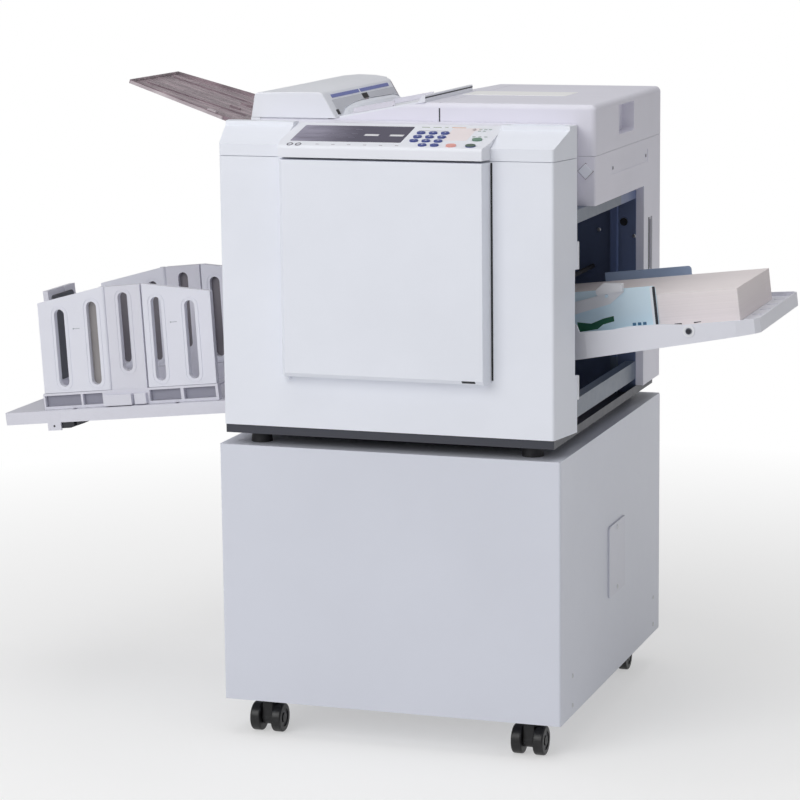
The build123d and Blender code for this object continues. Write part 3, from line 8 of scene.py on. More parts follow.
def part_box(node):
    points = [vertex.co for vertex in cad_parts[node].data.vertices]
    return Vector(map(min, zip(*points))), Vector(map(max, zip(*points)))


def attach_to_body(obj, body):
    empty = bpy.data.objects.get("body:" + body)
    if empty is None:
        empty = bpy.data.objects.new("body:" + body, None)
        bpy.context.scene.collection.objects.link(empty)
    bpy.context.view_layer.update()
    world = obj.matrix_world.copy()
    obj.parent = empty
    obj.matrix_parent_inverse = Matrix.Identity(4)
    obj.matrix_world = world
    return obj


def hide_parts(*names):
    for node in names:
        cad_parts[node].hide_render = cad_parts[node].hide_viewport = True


# A stencil duplicator on its stand cabinet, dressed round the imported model, in metres
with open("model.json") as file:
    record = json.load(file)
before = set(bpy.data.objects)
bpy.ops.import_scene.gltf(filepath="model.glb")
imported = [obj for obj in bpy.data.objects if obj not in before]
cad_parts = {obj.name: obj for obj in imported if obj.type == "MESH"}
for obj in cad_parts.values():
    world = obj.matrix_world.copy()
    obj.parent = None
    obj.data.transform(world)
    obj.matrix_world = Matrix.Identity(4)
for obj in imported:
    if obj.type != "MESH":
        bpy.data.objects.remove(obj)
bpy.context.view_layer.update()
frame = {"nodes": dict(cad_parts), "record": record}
nodes = frame["nodes"]
print("stage: frame loaded,", len(nodes), "nodes")

# Camera: where the photograph was taken from
camera = {"place": (1.54953, -4.76070, 1.44782), "turn": 19.02127, "pitch": 10.25098, "roll": -0.6414,
          "lens": 129.29, "sensor": 36.0}


def aimCamera(plan):
    turn, pitch, roll = (math.radians(plan[key]) for key in ("turn", "pitch", "roll"))
    across = Vector((math.cos(turn), math.sin(turn), 0))
    back = Vector((math.sin(turn) * math.cos(pitch), -math.cos(turn) * math.cos(pitch), math.sin(pitch)))
    up = back.cross(across)
    turnedRight = across * math.cos(roll) + up * math.sin(roll)
    turnedUp = up * math.cos(roll) - across * math.sin(roll)
    data = bpy.data.cameras.new("studioCamera")
    data.lens = plan["lens"]
    data.sensor_fit = "HORIZONTAL"
    data.sensor_width = plan["sensor"]
    data.clip_end = 60
    holder = bpy.data.objects.new("studioCamera", data)
    basis = Matrix((turnedRight, turnedUp, back)).transposed().to_4x4()
    holder.matrix_world = Matrix.Translation(plan["place"]) @ basis
    bpy.context.scene.collection.objects.link(holder)
    bpy.context.scene.camera = holder


aimCamera(camera)

# Lights: one large soft source from the front left, a weaker one from the right, and an even sky
lights = {
    "keyPanel": {"place": (-2.0, -4.6, 3.2), "aim": (0, 0, 0.7), "size": 3.4, "power": 124},
    "topPanel": {"place": (0.2, -0.4, 4.2), "aim": (0, 0, 0.8), "size": 3.0, "power": 46},
    "sidePanel": {"place": (4.2, -0.6, 2.0), "aim": (0, 0, 0.7), "size": 2.4, "power": 9},
}
skyStrength = 0.3


def addPanelLight(name, plan):
    data = bpy.data.lights.new(name, "AREA")
    data.shape = "SQUARE"
    data.size = plan["size"]
    data.energy = plan["power"]
    lamp = bpy.data.objects.new(name, data)
    lamp.location = plan["place"]
    aim = Vector(plan["aim"]) - Vector(plan["place"])
    lamp.rotation_euler = aim.to_track_quat("-Z", "Y").to_euler()
    bpy.context.scene.collection.objects.link(lamp)


for lightName, lightPlan in lights.items():
    addPanelLight(lightName, lightPlan)


# One arithmetic node; a plain number goes on its socket, anything else is linked
def combine(tree, operation, first, second):
    node = tree.nodes.new("ShaderNodeMath")
    node.operation = operation
    for socket, value in zip(node.inputs, (first, second)):
        if isinstance(value, float):
            socket.default_value = value
        else:
            tree.links.new(value, socket)
    return node.outputs[0]


def background(tree, strength):
    node = tree.nodes.new("ShaderNodeBackground")
    node.inputs["Color"].default_value = (1, 1, 1, 1)
    node.inputs["Strength"].default_value = strength
    return node.outputs[0]


# The sky lights the object softly, and the camera sees it as plain white
world = bpy.data.worlds.new("studioSky")
bpy.context.scene.world = world
world.use_nodes = True
sky = world.node_tree
sky.nodes.clear()
skyOut = sky.nodes.new("ShaderNodeOutputWorld")
skyMix = sky.nodes.new("ShaderNodeMixShader")
skyRay = sky.nodes.new("ShaderNodeLightPath")
skySeen = combine(sky, "MAXIMUM", skyRay.outputs["Is Camera Ray"], skyRay.outputs["Is Transmission Ray"])
sky.links.new(skySeen, skyMix.inputs["Fac"])
sky.links.new(background(sky, skyStrength), skyMix.inputs[1])
sky.links.new(background(sky, 1.0), skyMix.inputs[2])
sky.links.new(skyMix.outputs[0], skyOut.inputs["Surface"])
bpy.context.scene.view_settings.view_transform = "Standard"
print("stage: camera and lights")


# Materials: every one reads Object coordinates, so its pattern stays with the piece
# A colour of 0 to 255 in linear values
def linear(colour):
    return tuple(((v / 255 + 0.055) / 1.055) ** 2.4 if v > 10 else v / 3295 for v in colour) + (1.0,)


def shaded(colour, share):
    return tuple(v * share for v in colour[:3]) + (1.0,)


def startMaterial(name):
    material = bpy.data.materials.new(name)
    material.use_nodes = True
    tree = material.node_tree
    tree.nodes.clear()
    out = tree.nodes.new("ShaderNodeOutputMaterial")
    shader = tree.nodes.new("ShaderNodeBsdfPrincipled")
    tree.links.new(shader.outputs["BSDF"], out.inputs["Surface"])
    coords = tree.nodes.new("ShaderNodeTexCoord")
    return material, tree, shader, coords.outputs["Object"]


def addNoise(tree, place, scale, detail=3.0, stretch=None):
    if stretch:
        mapping = tree.nodes.new("ShaderNodeMapping")
        mapping.inputs["Scale"].default_value = stretch
        tree.links.new(place, mapping.inputs["Vector"])
        place = mapping.outputs["Vector"]
    noise = tree.nodes.new("ShaderNodeTexNoise")
    noise.inputs["Scale"].default_value = scale
    noise.inputs["Detail"].default_value = detail
    tree.links.new(place, noise.inputs["Vector"])
    return noise.outputs["Fac"]


def mixColour(tree, factor, first, second, low=0.35, high=0.65):
    ramp = tree.nodes.new("ShaderNodeValToRGB")
    ramp.color_ramp.elements[0].position = low
    ramp.color_ramp.elements[1].position = high
    ramp.color_ramp.elements[0].color = first
    ramp.color_ramp.elements[1].color = second
    tree.links.new(factor, ramp.inputs["Fac"])
    return ramp.outputs["Color"]


def spread(tree, factor, low, high):
    span = tree.nodes.new("ShaderNodeMapRange")
    span.inputs["To Min"].default_value = low
    span.inputs["To Max"].default_value = high
    tree.links.new(factor, span.inputs["Value"])
    return span.outputs["Result"]


def addBump(tree, shader, height, strength, distance):
    bump = tree.nodes.new("ShaderNodeBump")
    bump.inputs["Strength"].default_value = strength
    bump.inputs["Distance"].default_value = distance
    tree.links.new(height, bump.inputs["Height"])
    tree.links.new(bump.outputs["Normal"], shader.inputs["Normal"])


# Moulded plastic: fine spark texture, faint clouding and uneven gloss
def mouldedPlastic(name, colour, roughness=0.45, grain=900, depth=0.00012, cloud=0.03, strength=0.25):
    material, tree, shader, place = startMaterial(name)
    base = linear(colour)
    darker = shaded(base, 1 - cloud)
    tree.links.new(mixColour(tree, addNoise(tree, place, 7, 4), darker, base), shader.inputs["Base Color"])
    tree.links.new(spread(tree, addNoise(tree, place, 40, 2), roughness - 0.05, roughness + 0.07),
                   shader.inputs["Roughness"])
    addBump(tree, shader, addNoise(tree, place, grain, 2), strength, depth)
    return material


# Powder coat: a soft orange peel over sheet metal
def powderCoat(name, colour, roughness=0.38, peel=260, depth=0.0002, cloud=0.025):
    material, tree, shader, place = startMaterial(name)
    base = linear(colour)
    darker = shaded(base, 1 - cloud)
    tree.links.new(mixColour(tree, addNoise(tree, place, 5, 5), darker, base), shader.inputs["Base Color"])
    tree.links.new(spread(tree, addNoise(tree, place, 60, 2), roughness - 0.05, roughness + 0.08),
                   shader.inputs["Roughness"])
    addBump(tree, shader, addNoise(tree, place, peel, 2), 0.2, depth)
    return material


# The rails' slate paint, which turns to the frames' navy on the posts and the far end of the upper bar
def railPaint(name, colour, farColour, postsLow=0.6, postsHigh=0.882, barFar=0.105):
    material, tree, shader, place = startMaterial(name)
    part = tree.nodes.new("ShaderNodeSeparateXYZ")
    tree.links.new(place, part.inputs[0])
    overPan = combine(tree, "GREATER_THAN", part.outputs["Z"], postsLow)
    underBar = combine(tree, "LESS_THAN", part.outputs["Z"], postsHigh)
    posts = combine(tree, "MULTIPLY", overPan, underBar)
    inBar = combine(tree, "GREATER_THAN", part.outputs["Z"], postsHigh)
    farEnd = combine(tree, "GREATER_THAN", part.outputs["Y"], barFar)
    farBar = combine(tree, "MULTIPLY", inBar, farEnd)
    navy = combine(tree, "MAXIMUM", posts, farBar)
    base, far = linear(colour), linear(farColour)
    mix = tree.nodes.new("ShaderNodeMix")
    mix.data_type = "RGBA"
    tree.links.new(navy, mix.inputs["Factor"])
    clouds = addNoise(tree, place, 5, 5)
    tree.links.new(mixColour(tree, clouds, shaded(base, 0.9), base), mix.inputs["A"])
    tree.links.new(mixColour(tree, clouds, shaded(far, 0.9), far), mix.inputs["B"])
    tree.links.new(mix.outputs["Result"], shader.inputs["Base Color"])
    tree.links.new(spread(tree, addNoise(tree, place, 60, 2), 0.32, 0.44), shader.inputs["Roughness"])
    addBump(tree, shader, addNoise(tree, place, 300, 2), 0.2, 0.0002)
    return material


# Metal with a drawn grain along one direction
def brushedMetal(name, colour, roughness=0.3, stretch=(400, 12, 400)):
    material, tree, shader, place = startMaterial(name)
    base = linear(colour)
    streaks = addNoise(tree, place, 1.0, 4, stretch)
    tree.links.new(mixColour(tree, streaks, shaded(base, 0.82), base), shader.inputs["Base Color"])
    tree.links.new(spread(tree, streaks, roughness - 0.06, roughness + 0.12), shader.inputs["Roughness"])
    shader.inputs["Metallic"].default_value = 1.0
    addBump(tree, shader, streaks, 0.15, 0.0001)
    return material


# Rubber and worn black plastic: dusty patches on a dark ground
def darkRubber(name, colour, roughness=0.6, dust=0.35):
    material, tree, shader, place = startMaterial(name)
    base = linear(colour)
    dusty = tuple(v + (0.12 - v) * dust for v in base[:3]) + (1.0,)
    patches = addNoise(tree, place, 30, 5)
    tree.links.new(mixColour(tree, patches, base, dusty, 0.5, 0.8), shader.inputs["Base Color"])
    tree.links.new(spread(tree, addNoise(tree, place, 80, 3), roughness - 0.12, roughness + 0.1),
                   shader.inputs["Roughness"])
    addBump(tree, shader, addNoise(tree, place, 500, 3), 0.3, 0.0002)
    return material


# Sheets seen edge on: thin lines across the stack's height, fibre on its top
def sheetPaper(name, colour, tilt):
    material, tree, shader, place = startMaterial(name)
    mapping = tree.nodes.new("ShaderNodeMapping")
    mapping.inputs["Rotation"].default_value = (0, math.radians(tilt), 0)
    tree.links.new(place, mapping.inputs["Vector"])
    edge = addNoise(tree, mapping.outputs["Vector"], 1.0, 5, (3, 3, 2600))
    base = linear(colour)
    tree.links.new(mixColour(tree, edge, shaded(base, 0.92), base, 0.3, 0.6), shader.inputs["Base Color"])
    shader.inputs["Roughness"].default_value = 0.85
    addBump(tree, shader, edge, 0.3, 0.0003)
    return material


# Tinted see-through plastic with soft streaks
def smokyPlastic(name, colour, streak, alpha=0.75, roughness=0.18):
    material, tree, shader, place = startMaterial(name)
    waves = addNoise(tree, place, 1.0, 4, (14, 60, 14))
    tree.links.new(mixColour(tree, waves, linear(colour), linear(streak), 0.42, 0.72),
                   shader.inputs["Base Color"])
    tree.links.new(spread(tree, addNoise(tree, place, 50, 2), roughness, roughness + 0.1),
                   shader.inputs["Roughness"])
    shader.inputs["Alpha"].default_value = alpha
    addBump(tree, shader, addNoise(tree, place, 120, 2), 0.1, 0.0002)
    return material


# The display's dark window: a painted reflection, in light clouds, lies on its left half
def displayPlastic(name, colour, paintedSheen, brightX, darkX):
    material, tree, shader, place = startMaterial(name)
    part = tree.nodes.new("ShaderNodeSeparateXYZ")
    tree.links.new(place, part.inputs[0])
    fade = tree.nodes.new("ShaderNodeMapRange")
    fade.inputs["From Min"].default_value = darkX
    fade.inputs["From Max"].default_value = brightX
    tree.links.new(part.outputs["X"], fade.inputs["Value"])
    clouds = spread(tree, addNoise(tree, place, 1.0, 3, (16, 50, 16)), 0.2, 1.7)
    share = combine(tree, "MULTIPLY", fade.outputs["Result"], clouds)
    tree.links.new(mixColour(tree, share, linear(colour), linear(paintedSheen), 0.1, 0.9), shader.inputs["Base Color"])
    tree.links.new(spread(tree, addNoise(tree, place, 40, 2), 0.12, 0.22), shader.inputs["Roughness"])
    addBump(tree, shader, addNoise(tree, place, 400, 2), 0.1, 0.00004)
    return material


# The exposure glass, with faint smears in its gloss
def clearGlass(name, colour, alpha=0.4):
    material, tree, shader, place = startMaterial(name)
    tree.links.new(spread(tree, addNoise(tree, place, 12, 3), 0.02, 0.07), shader.inputs["Roughness"])
    shader.inputs["Base Color"].default_value = linear(colour)
    shader.inputs["Alpha"].default_value = alpha
    shader.inputs["IOR"].default_value = 1.5
    return material


# Each finish: the function that makes it, then its colour and its other values
finishPlans = {
    "cabinetPaint": (powderCoat, (219, 222, 233)),
    "plateGrey": (powderCoat, (212, 214, 226), 0.32),
    "brightSteel": (brushedMetal, (205, 206, 210), 0.28, (60, 60, 60)),
    "casterBody": (mouldedPlastic, (14, 14, 19), 0.38, 700, 0.0001, 0.1),
    "casterTread": (darkRubber, (12, 12, 16), 0.42, 0.08),
    "footRubber": (darkRubber, (38, 38, 42)),
    "panSteel": (powderCoat, (60, 62, 72), 0.45),
    "frameNavy": (powderCoat, (104, 117, 150), 0.35, 300, 0.0002, 0.15),
    "railSlate": (railPaint, (96, 108, 126), (100, 116, 158)),
    "guideSteel": (brushedMetal, (96, 102, 116), 0.35, (12, 400, 12)),
    "casingWhite": (mouldedPlastic, (238, 241, 250)),
    "panelWhite": (mouldedPlastic, (240, 242, 250), 0.42),
    "displayDark": (displayPlastic, (80, 76, 96), (160, 156, 176), -0.175, -0.04),
    "coverGrey": (mouldedPlastic, (234, 233, 244), 0.45),
    "scanGlass": (clearGlass, (190, 205, 208)),
    "padWhite": (mouldedPlastic, (240, 240, 238), 0.7, 300, 0.0003),
    "feederGrey": (mouldedPlastic, (238, 240, 247), 0.42),
    "smokePurple": (smokyPlastic, (132, 112, 122), (196, 172, 182)),
    "drumMetal": (brushedMetal, (150, 154, 164), 0.32, (14, 300, 14)),
    "rollerRubber": (darkRubber, (44, 44, 48), 0.65, 0.15),
    "flangeBlue": (mouldedPlastic, (92, 116, 164)),
    "trayGrey": (mouldedPlastic, (230, 231, 240), 0.42),
    "paper": (sheetPaper, (244, 236, 236), 6.5),
    "fenceBlue": (mouldedPlastic, (222, 243, 255), 0.3),
    "fenceSlate": (mouldedPlastic, (158, 178, 208), 0.35),
    "leverWhite": (mouldedPlastic, (238, 239, 244), 0.35),
    "buttonGrey": (mouldedPlastic, (140, 144, 156), 0.35),
    "platePanel": (mouldedPlastic, (230, 231, 241), 0.4),
    "plateBase": (mouldedPlastic, (222, 222, 232), 0.42),
    "latchDark": (mouldedPlastic, (44, 46, 52), 0.4),
    "keyBlue": (mouldedPlastic, (70, 82, 150), 0.3, 600, 0.00006),
    "keyGreen": (mouldedPlastic, (112, 146, 128), 0.3, 600, 0.00006),
    "keyPink": (mouldedPlastic, (236, 168, 160), 0.3, 600, 0.00006),
    "switchBlack": (mouldedPlastic, (22, 22, 24), 0.3),
    # Finishes of the small pieces that the frame doesn't have; several of them are painted shade, painted light and
    # painted highlights
    "litWindow": (mouldedPlastic, (236, 236, 240), 0.3, 400, 0.00004, 0.05),
    "displayLine": (mouldedPlastic, (128, 126, 142), 0.3, 400, 0.00004, 0.05),
    "printGrey": (mouldedPlastic, (150, 140, 148), 0.5),
    "printBlush": (mouldedPlastic, (244, 234, 236), 0.45),
    "printGreen": (mouldedPlastic, (120, 140, 96), 0.45),
    "printAmber": (mouldedPlastic, (226, 178, 150), 0.45),
    "printDark": (mouldedPlastic, (84, 78, 92), 0.4),
    "printWhite": (mouldedPlastic, (224, 228, 240), 0.4),
    "keyMist": (mouldedPlastic, (186, 196, 196), 0.35, 500, 0.00005),
    "capGreen": (mouldedPlastic, (84, 104, 92), 0.3, 600, 0.00006),
    "pocketShade": (mouldedPlastic, (150, 150, 164), 0.5),
    "slotShade": (mouldedPlastic, (120, 116, 122), 0.5, 500, 0.0001, 0.1),
    "guidePale": (mouldedPlastic, (224, 222, 232), 0.3, 500, 0.0001, 0.04),
    "trayPale": (smokyPlastic, (196, 184, 190), (226, 216, 220), 0.85),
    "backShade": (mouldedPlastic, (150, 146, 146), 0.5, 500, 0.0001, 0.12),
    "dishShade": (darkRubber, (96, 96, 106), 0.6, 0.1),
    "dishLight": (darkRubber, (150, 150, 160), 0.6, 0.1),
    "gapBlack": (darkRubber, (34, 35, 40), 0.6, 0.1),
    "seamDark": (darkRubber, (58, 60, 68), 0.6, 0.1),
    "insetPale": (mouldedPlastic, (250, 250, 250), 0.5),
    "stripBlue": (mouldedPlastic, (120, 130, 192), 0.35),
    "squareBlack": (darkRubber, (18, 18, 24), 0.4, 0.05),
    "feederShade": (mouldedPlastic, (204, 206, 214), 0.45),
    "padFoam": (mouldedPlastic, (104, 106, 112), 0.85, 330, 0.0007, 0.14, 0.7),
    "bandGreen": (mouldedPlastic, (24, 92, 66), 0.4),
    "lineBlack": (mouldedPlastic, (36, 38, 48), 0.4),
    "lineWhite": (mouldedPlastic, (240, 244, 250), 0.4),
    "markBlue": (mouldedPlastic, (70, 116, 150), 0.4),
    "hubGrey": (mouldedPlastic, (34, 35, 42), 0.35, 500, 0.0001, 0.08),
    "markPale": (mouldedPlastic, (168, 172, 182), 0.5),
    "holeDark": (darkRubber, (12, 13, 18), 0.7, 0.05),
}
finishes = {name: make(name, *values) for name, (make, *values) in finishPlans.items()}


# A frame's name in camelCase, such as casing_white as casingWhite
def camel(name):
    first, *others = name.split("_")
    return first + "".join(word.title() for word in others)


for part in frame["record"]["subparts"]:
    holder = nodes[part["node"]]
    holder.data.materials.clear()
    pale = part["node"].startswith("original_guide")
    holder.data.materials.append(finishes["guidePale" if pale else camel(part["material_slot"])])
print("stage: finishes on", len(nodes), "nodes")

# Planes that the small pieces lie on, in millimetres: a place, two directions and the way out
def tilted(origin, angle, along):
    run, rise = math.cos(math.radians(angle)), math.sin(math.radians(angle))
    if along == "X":     # rises towards +X
        u, v, n = Vector((run, 0, rise)), Vector((0, 1, 0)), Vector((-rise, 0, run))
    else:                # rises towards +Y
        u, v, n = Vector((1, 0, 0)), Vector((0, run, rise)), Vector((0, -rise, run))
    return {"origin": Vector(origin), "u": u, "v": v, "n": n}


def facing(origin, u, v):
    u, v = Vector(u), Vector(v)
    return {"origin": Vector(origin), "u": u, "v": v, "n": u.cross(v)}


def corners(node):
    low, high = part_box(node)
    return [v * 1000 for v in low], [v * 1000 for v in high]


def spot(plane, x, y, z=0.0):
    return (plane["origin"] + plane["u"] * x + plane["v"] * y + plane["n"] * z) / 1000


# The machine's own sizes that several pieces below need
machine = {"paperY": -21.5, "paperHalf": 128.5, "panelAngle": 14.0, "feedAngle": 6.5, "feedX": 240.0,
           "feedZ": 690.8, "deliveryAngle": 5.9, "deliveryX": -300.0, "deliveryZ": 560.0}
panelLow, panelHigh = corners("operation_panel")
panelRise = (panelHigh[1] - panelLow[1]) * math.tan(math.radians(machine["panelAngle"]))
panelPlane = tilted((0, panelLow[1], panelHigh[2] - panelRise), machine["panelAngle"], "Y")
feedPlane = tilted((machine["feedX"], machine["paperY"], machine["feedZ"]), machine["feedAngle"], "X")
deliveryPlane = tilted((machine["deliveryX"], machine["paperY"], machine["deliveryZ"]),
                       machine["deliveryAngle"], "X")


# A plane that stands on a tilted one, beside it by a distance, and looks along -Y or +Y
def beside(plane, away, way=-1):
    return facing(plane["origin"] + Vector((0, away, 0)), plane["u"] * -way, plane["n"])


# Outlines in millimetres
def roundedBox(x0, x1, y0, y1, radius, steps=5):
    radius = min(radius, (x1 - x0) / 2 - 0.01, (y1 - y0) / 2 - 0.01)
    points = []
    for cx, cy, start in ((x1 - radius, y1 - radius, 0), (x0 + radius, y1 - radius, 90),
                          (x0 + radius, y0 + radius, 180), (x1 - radius, y0 + radius, 270)):
        for i in range(steps + 1):
            angle = math.radians(start + 90 * i / steps)
            points.append((cx + radius * math.cos(angle), cy + radius * math.sin(angle)))
    return points


def oval(cx, cy, width, height, steps=28):
    return [(cx + width / 2 * math.cos(math.tau * i / steps), cy + height / 2 * math.sin(math.tau * i / steps))
            for i in range(steps)]


def turned(points, cx, cy, degrees):
    turnCos, turnSin = math.cos(math.radians(degrees)), math.sin(math.radians(degrees))
    return [(cx + x * turnCos - y * turnSin, cy + x * turnSin + y * turnCos) for x, y in points]


# Faces between two rings that have the same number of points
def joinRings(bm, first, second):
    for i in range(len(first)):
        j = (i + 1) % len(first)
        bm.faces.new((first[i], first[j], second[j], second[i]))


# A closed skin over a row of rings
def closeRings(bm, rings):
    bm.faces.new(list(reversed(rings[0])))
    bm.faces.new(rings[-1])
    for lower, upper in zip(rings, rings[1:]):
        joinRings(bm, lower, upper)


# A plate with an outline, raised from one height to another, its top edge softened by an inset
def plate(bm, plane, outline, low, high, soft=0.0):
    rings = [(0.0, low), (0.0, high - soft), (soft, high)] if soft else [(0.0, low), (0.0, high)]
    cx, cy = (sum(values) / len(outline) for values in zip(*outline))
    loops = []
    for inset, z in rings:
        shares = [1 - inset / max(math.hypot(x - cx, y - cy), 0.001) for x, y in outline]
        loops.append([bm.verts.new(spot(plane, cx + (x - cx) * share, cy + (y - cy) * share, z))
                      for (x, y), share in zip(outline, shares)])
    closeRings(bm, loops)


# A frame between two outlines that have the same number of points
def rim(bm, plane, outer, inner, low, high):
    rows = [[bm.verts.new(spot(plane, x, y, z)) for x, y in line] for line, z in
            ((outer, low), (outer, high), (inner, high), (inner, low))]
    for first, second in zip(rows, rows[1:] + rows[:1]):
        joinRings(bm, first, second)


# A skin through outlines (x, z) at several places along Y, in millimetres
def loftAlongY(bm, stations):
    closeRings(bm, [[bm.verts.new((x / 1000, y / 1000, z / 1000)) for x, z in points]
                    for y, points in stations])


# A turned part: a profile of (radius, height) pairs round an axis
def turn(bm, plane, profile, steps=32):
    turns = [(math.cos(math.tau * i / steps), math.sin(math.tau * i / steps)) for i in range(steps)]
    closeRings(bm, [[bm.verts.new(spot(plane, radius * x, radius * y, height)) for x, y in turns]
                    for radius, height in profile])


def cleanMesh(name, bm):
    bmesh.ops.remove_doubles(bm, verts=bm.verts, dist=1e-7)
    bmesh.ops.recalc_face_normals(bm, faces=bm.faces)
    mesh = bpy.data.meshes.new(name)
    bm.to_mesh(mesh)
    bm.free()
    return mesh


def linked(name, data):
    holder = bpy.data.objects.new(name, data)
    bpy.context.scene.collection.objects.link(holder)
    return holder


# An object's mesh with its modifiers applied
def evaluatedMesh(holder):
    return bpy.data.meshes.new_from_object(holder.evaluated_get(bpy.context.evaluated_depsgraph_get()))


def attach(piece, body):
    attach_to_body(piece, body)
    return piece


def finishPiece(name, bm, finish, body):
    piece = linked(name, cleanMesh(name, bm))
    piece.data.materials.append(finishes[finish])
    return attach(piece, body)


# A piece that is one plate, with its low and high faces and the inset of its top edge
def platePiece(name, plane, outline, heights, finish, body):
    bm = bmesh.new()
    plate(bm, plane, outline, *heights)
    return finishPiece(name, bm, finish, body)


def unitObject(name, bm):
    return linked(name, cleanMesh(name, bm))


# A plane at the world's origin with another plane's directions, for a unit
def unitPlane(plane):
    return {**plane, "origin": Vector((0, 0, 0))}


def plateUnit(name, plane, outline, heights):
    bm = bmesh.new()
    plate(bm, unitPlane(plane), outline, *heights)
    return unitObject(name, bm)


# Geometry Nodes: the shared end of both trees, instances made real and given their finish
def finishTree(tree, source, instances):
    realize = tree.nodes.new("GeometryNodeRealizeInstances")
    finish = tree.nodes.new("GeometryNodeSetMaterial")
    out = tree.nodes.new("NodeGroupOutput")
    tree.links.new(instances, realize.inputs["Geometry"])
    tree.links.new(realize.outputs["Geometry"], finish.inputs["Geometry"])
    tree.links.new(source.outputs["Finish"], finish.inputs["Material"])
    tree.links.new(finish.outputs["Geometry"], out.inputs["Geometry"])


def startTree(name, inputs):
    tree = bpy.data.node_groups.new(name, "GeometryNodeTree")
    tree.interface.new_socket("Geometry", in_out="INPUT", socket_type="NodeSocketGeometry")
    for label, kind in inputs:
        tree.interface.new_socket(label, in_out="INPUT", socket_type="NodeSocket" + kind)
    tree.interface.new_socket("Geometry", in_out="OUTPUT", socket_type="NodeSocketGeometry")
    return tree, tree.nodes.new("NodeGroupInput")


# One unit on every point of a mesh
def unitsOnSpotsTree():
    tree, source = startTree("unitsOnSpots", (("Unit", "Object"), ("Finish", "Material")))
    unit = tree.nodes.new("GeometryNodeObjectInfo")
    place = tree.nodes.new("GeometryNodeInstanceOnPoints")
    tree.links.new(source.outputs["Unit"], unit.inputs["Object"])
    tree.links.new(source.outputs["Geometry"], place.inputs["Points"])
    tree.links.new(unit.outputs["Geometry"], place.inputs["Instance"])
    finishTree(tree, source, place.outputs["Instances"])
    return tree


# One unit repeated along a straight row
def unitsInRowTree():
    tree, source = startTree("unitsInRow", (("Unit", "Object"), ("Count", "Int"), ("Start", "Vector"),
                                            ("Step", "Vector"), ("Finish", "Material")))
    line = tree.nodes.new("GeometryNodeMeshLine")
    unit = tree.nodes.new("GeometryNodeObjectInfo")
    place = tree.nodes.new("GeometryNodeInstanceOnPoints")
    tree.links.new(source.outputs["Count"], line.inputs["Count"])
    tree.links.new(source.outputs["Start"], line.inputs["Start Location"])
    tree.links.new(source.outputs["Step"], line.inputs["Offset"])
    tree.links.new(source.outputs["Unit"], unit.inputs["Object"])
    tree.links.new(line.outputs["Mesh"], place.inputs["Points"])
    tree.links.new(unit.outputs["Geometry"], place.inputs["Instance"])
    finishTree(tree, source, place.outputs["Instances"])
    return tree


onSpots = unitsOnSpotsTree()
inRow = unitsInRowTree()


# A piece grown by a node tree; its unit goes once the piece is made
def growPiece(name, tree, points, inputs, body):
    base = bpy.data.meshes.new(name + "Base")
    base.from_pydata(points, [], [])
    holder = linked(name + "Base", base)
    modifier = holder.modifiers.new("grow", "NODES")
    modifier.node_group = tree
    for item in tree.interface.items_tree:
        if item.in_out == "INPUT" and item.name in inputs:
            modifier[item.identifier] = inputs[item.name]
    mesh = evaluatedMesh(holder)
    holder.modifiers.clear()
    bpy.data.objects.remove(holder)
    bpy.data.objects.remove(inputs["Unit"])
    mesh.name = name
    return attach(linked(name, mesh), body)


def onPlaces(name, unit, places, finish, body):
    return growPiece(name, onSpots, [tuple(p) for p in places], {"Unit": unit, "Finish": finishes[finish]}, body)


def inLine(name, unit, count, start, step, finish, body):
    inputs = {"Unit": unit, "Count": count, "Start": tuple(start), "Step": tuple(step), "Finish": finishes[finish]}
    return growPiece(name, inRow, [], inputs, body)


# Places in metres from places in millimetres
def metres(places):
    return [(x / 1000, y / 1000, z / 1000) for x, y, z in places]


# The ways that upright and level faces look
right = facing((0, 0, 0), (0, 1, 0), (0, 0, 1))
left = facing((0, 0, 0), (0, -1, 0), (0, 0, 1))
front = facing((0, 0, 0), (1, 0, 0), (0, 0, 1))
rear = facing((0, 0, 0), (-1, 0, 0), (0, 0, 1))
level = facing((0, 0, 0), (1, 0, 0), (0, 1, 0))
print("stage: tools and node trees")


# Screws: a low domed head with a cross recess, one unit for each way that they face
def screwUnit(plane, radius, height, steps=24):
    bm = bmesh.new()

    def ring(shares, up):
        return [bm.verts.new(spot(plane, radius * share * math.cos(math.tau * i / steps),
                                  radius * share * math.sin(math.tau * i / steps), height * up))
                for i, share in enumerate(shares)]

    cross = [0.46 if i % 6 in (0, 5, 1) else 0.2 for i in range(steps)]
    dome = [ring([share] * steps, up) for share, up in ((1.0, 0.0), (1.0, 0.35), (0.86, 0.8), (0.6, 1.0))]
    closeRings(bm, dome + [ring(cross, up) for up in (1.0, 0.45)])
    return unitObject("screwUnit", bm)


def addScrews(name, plane, size, places, finish="brightSteel"):
    return onPlaces(name, screwUnit(plane, *size), metres(places), finish, "chassis")


cabinetLow, cabinetHigh = corners("cabinet_shell")
screws = {"size": (4.0, 1.2), "sideYs": (-264.5, 293.5), "ups": (81.0, 132.0), "rearXs": (-288.0, 288.0),
          "rearY": 337.5, "rearUps": (104.0, 471.0), "plateX": 303.0, "plateY": 20.5, "plateUps": (218.5, 326.5)}
for sideName, plane, x in (("Right", right, cabinetHigh[0]), ("Left", left, cabinetLow[0])):
    places = [(x, y, z) for y in screws["sideYs"] for z in screws["ups"]]
    if sideName == "Right":
        places += [(screws["plateX"], screws["plateY"], z) for z in screws["plateUps"]]
    addScrews("cabinetScrews" + sideName, plane, screws["size"], places)
rearScrews = addScrews("cabinetScrewsRear", rear, screws["size"],
                       [(x, screws["rearY"], z) for x in screws["rearXs"] for z in screws["rearUps"]])
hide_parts("cabinet_screws")

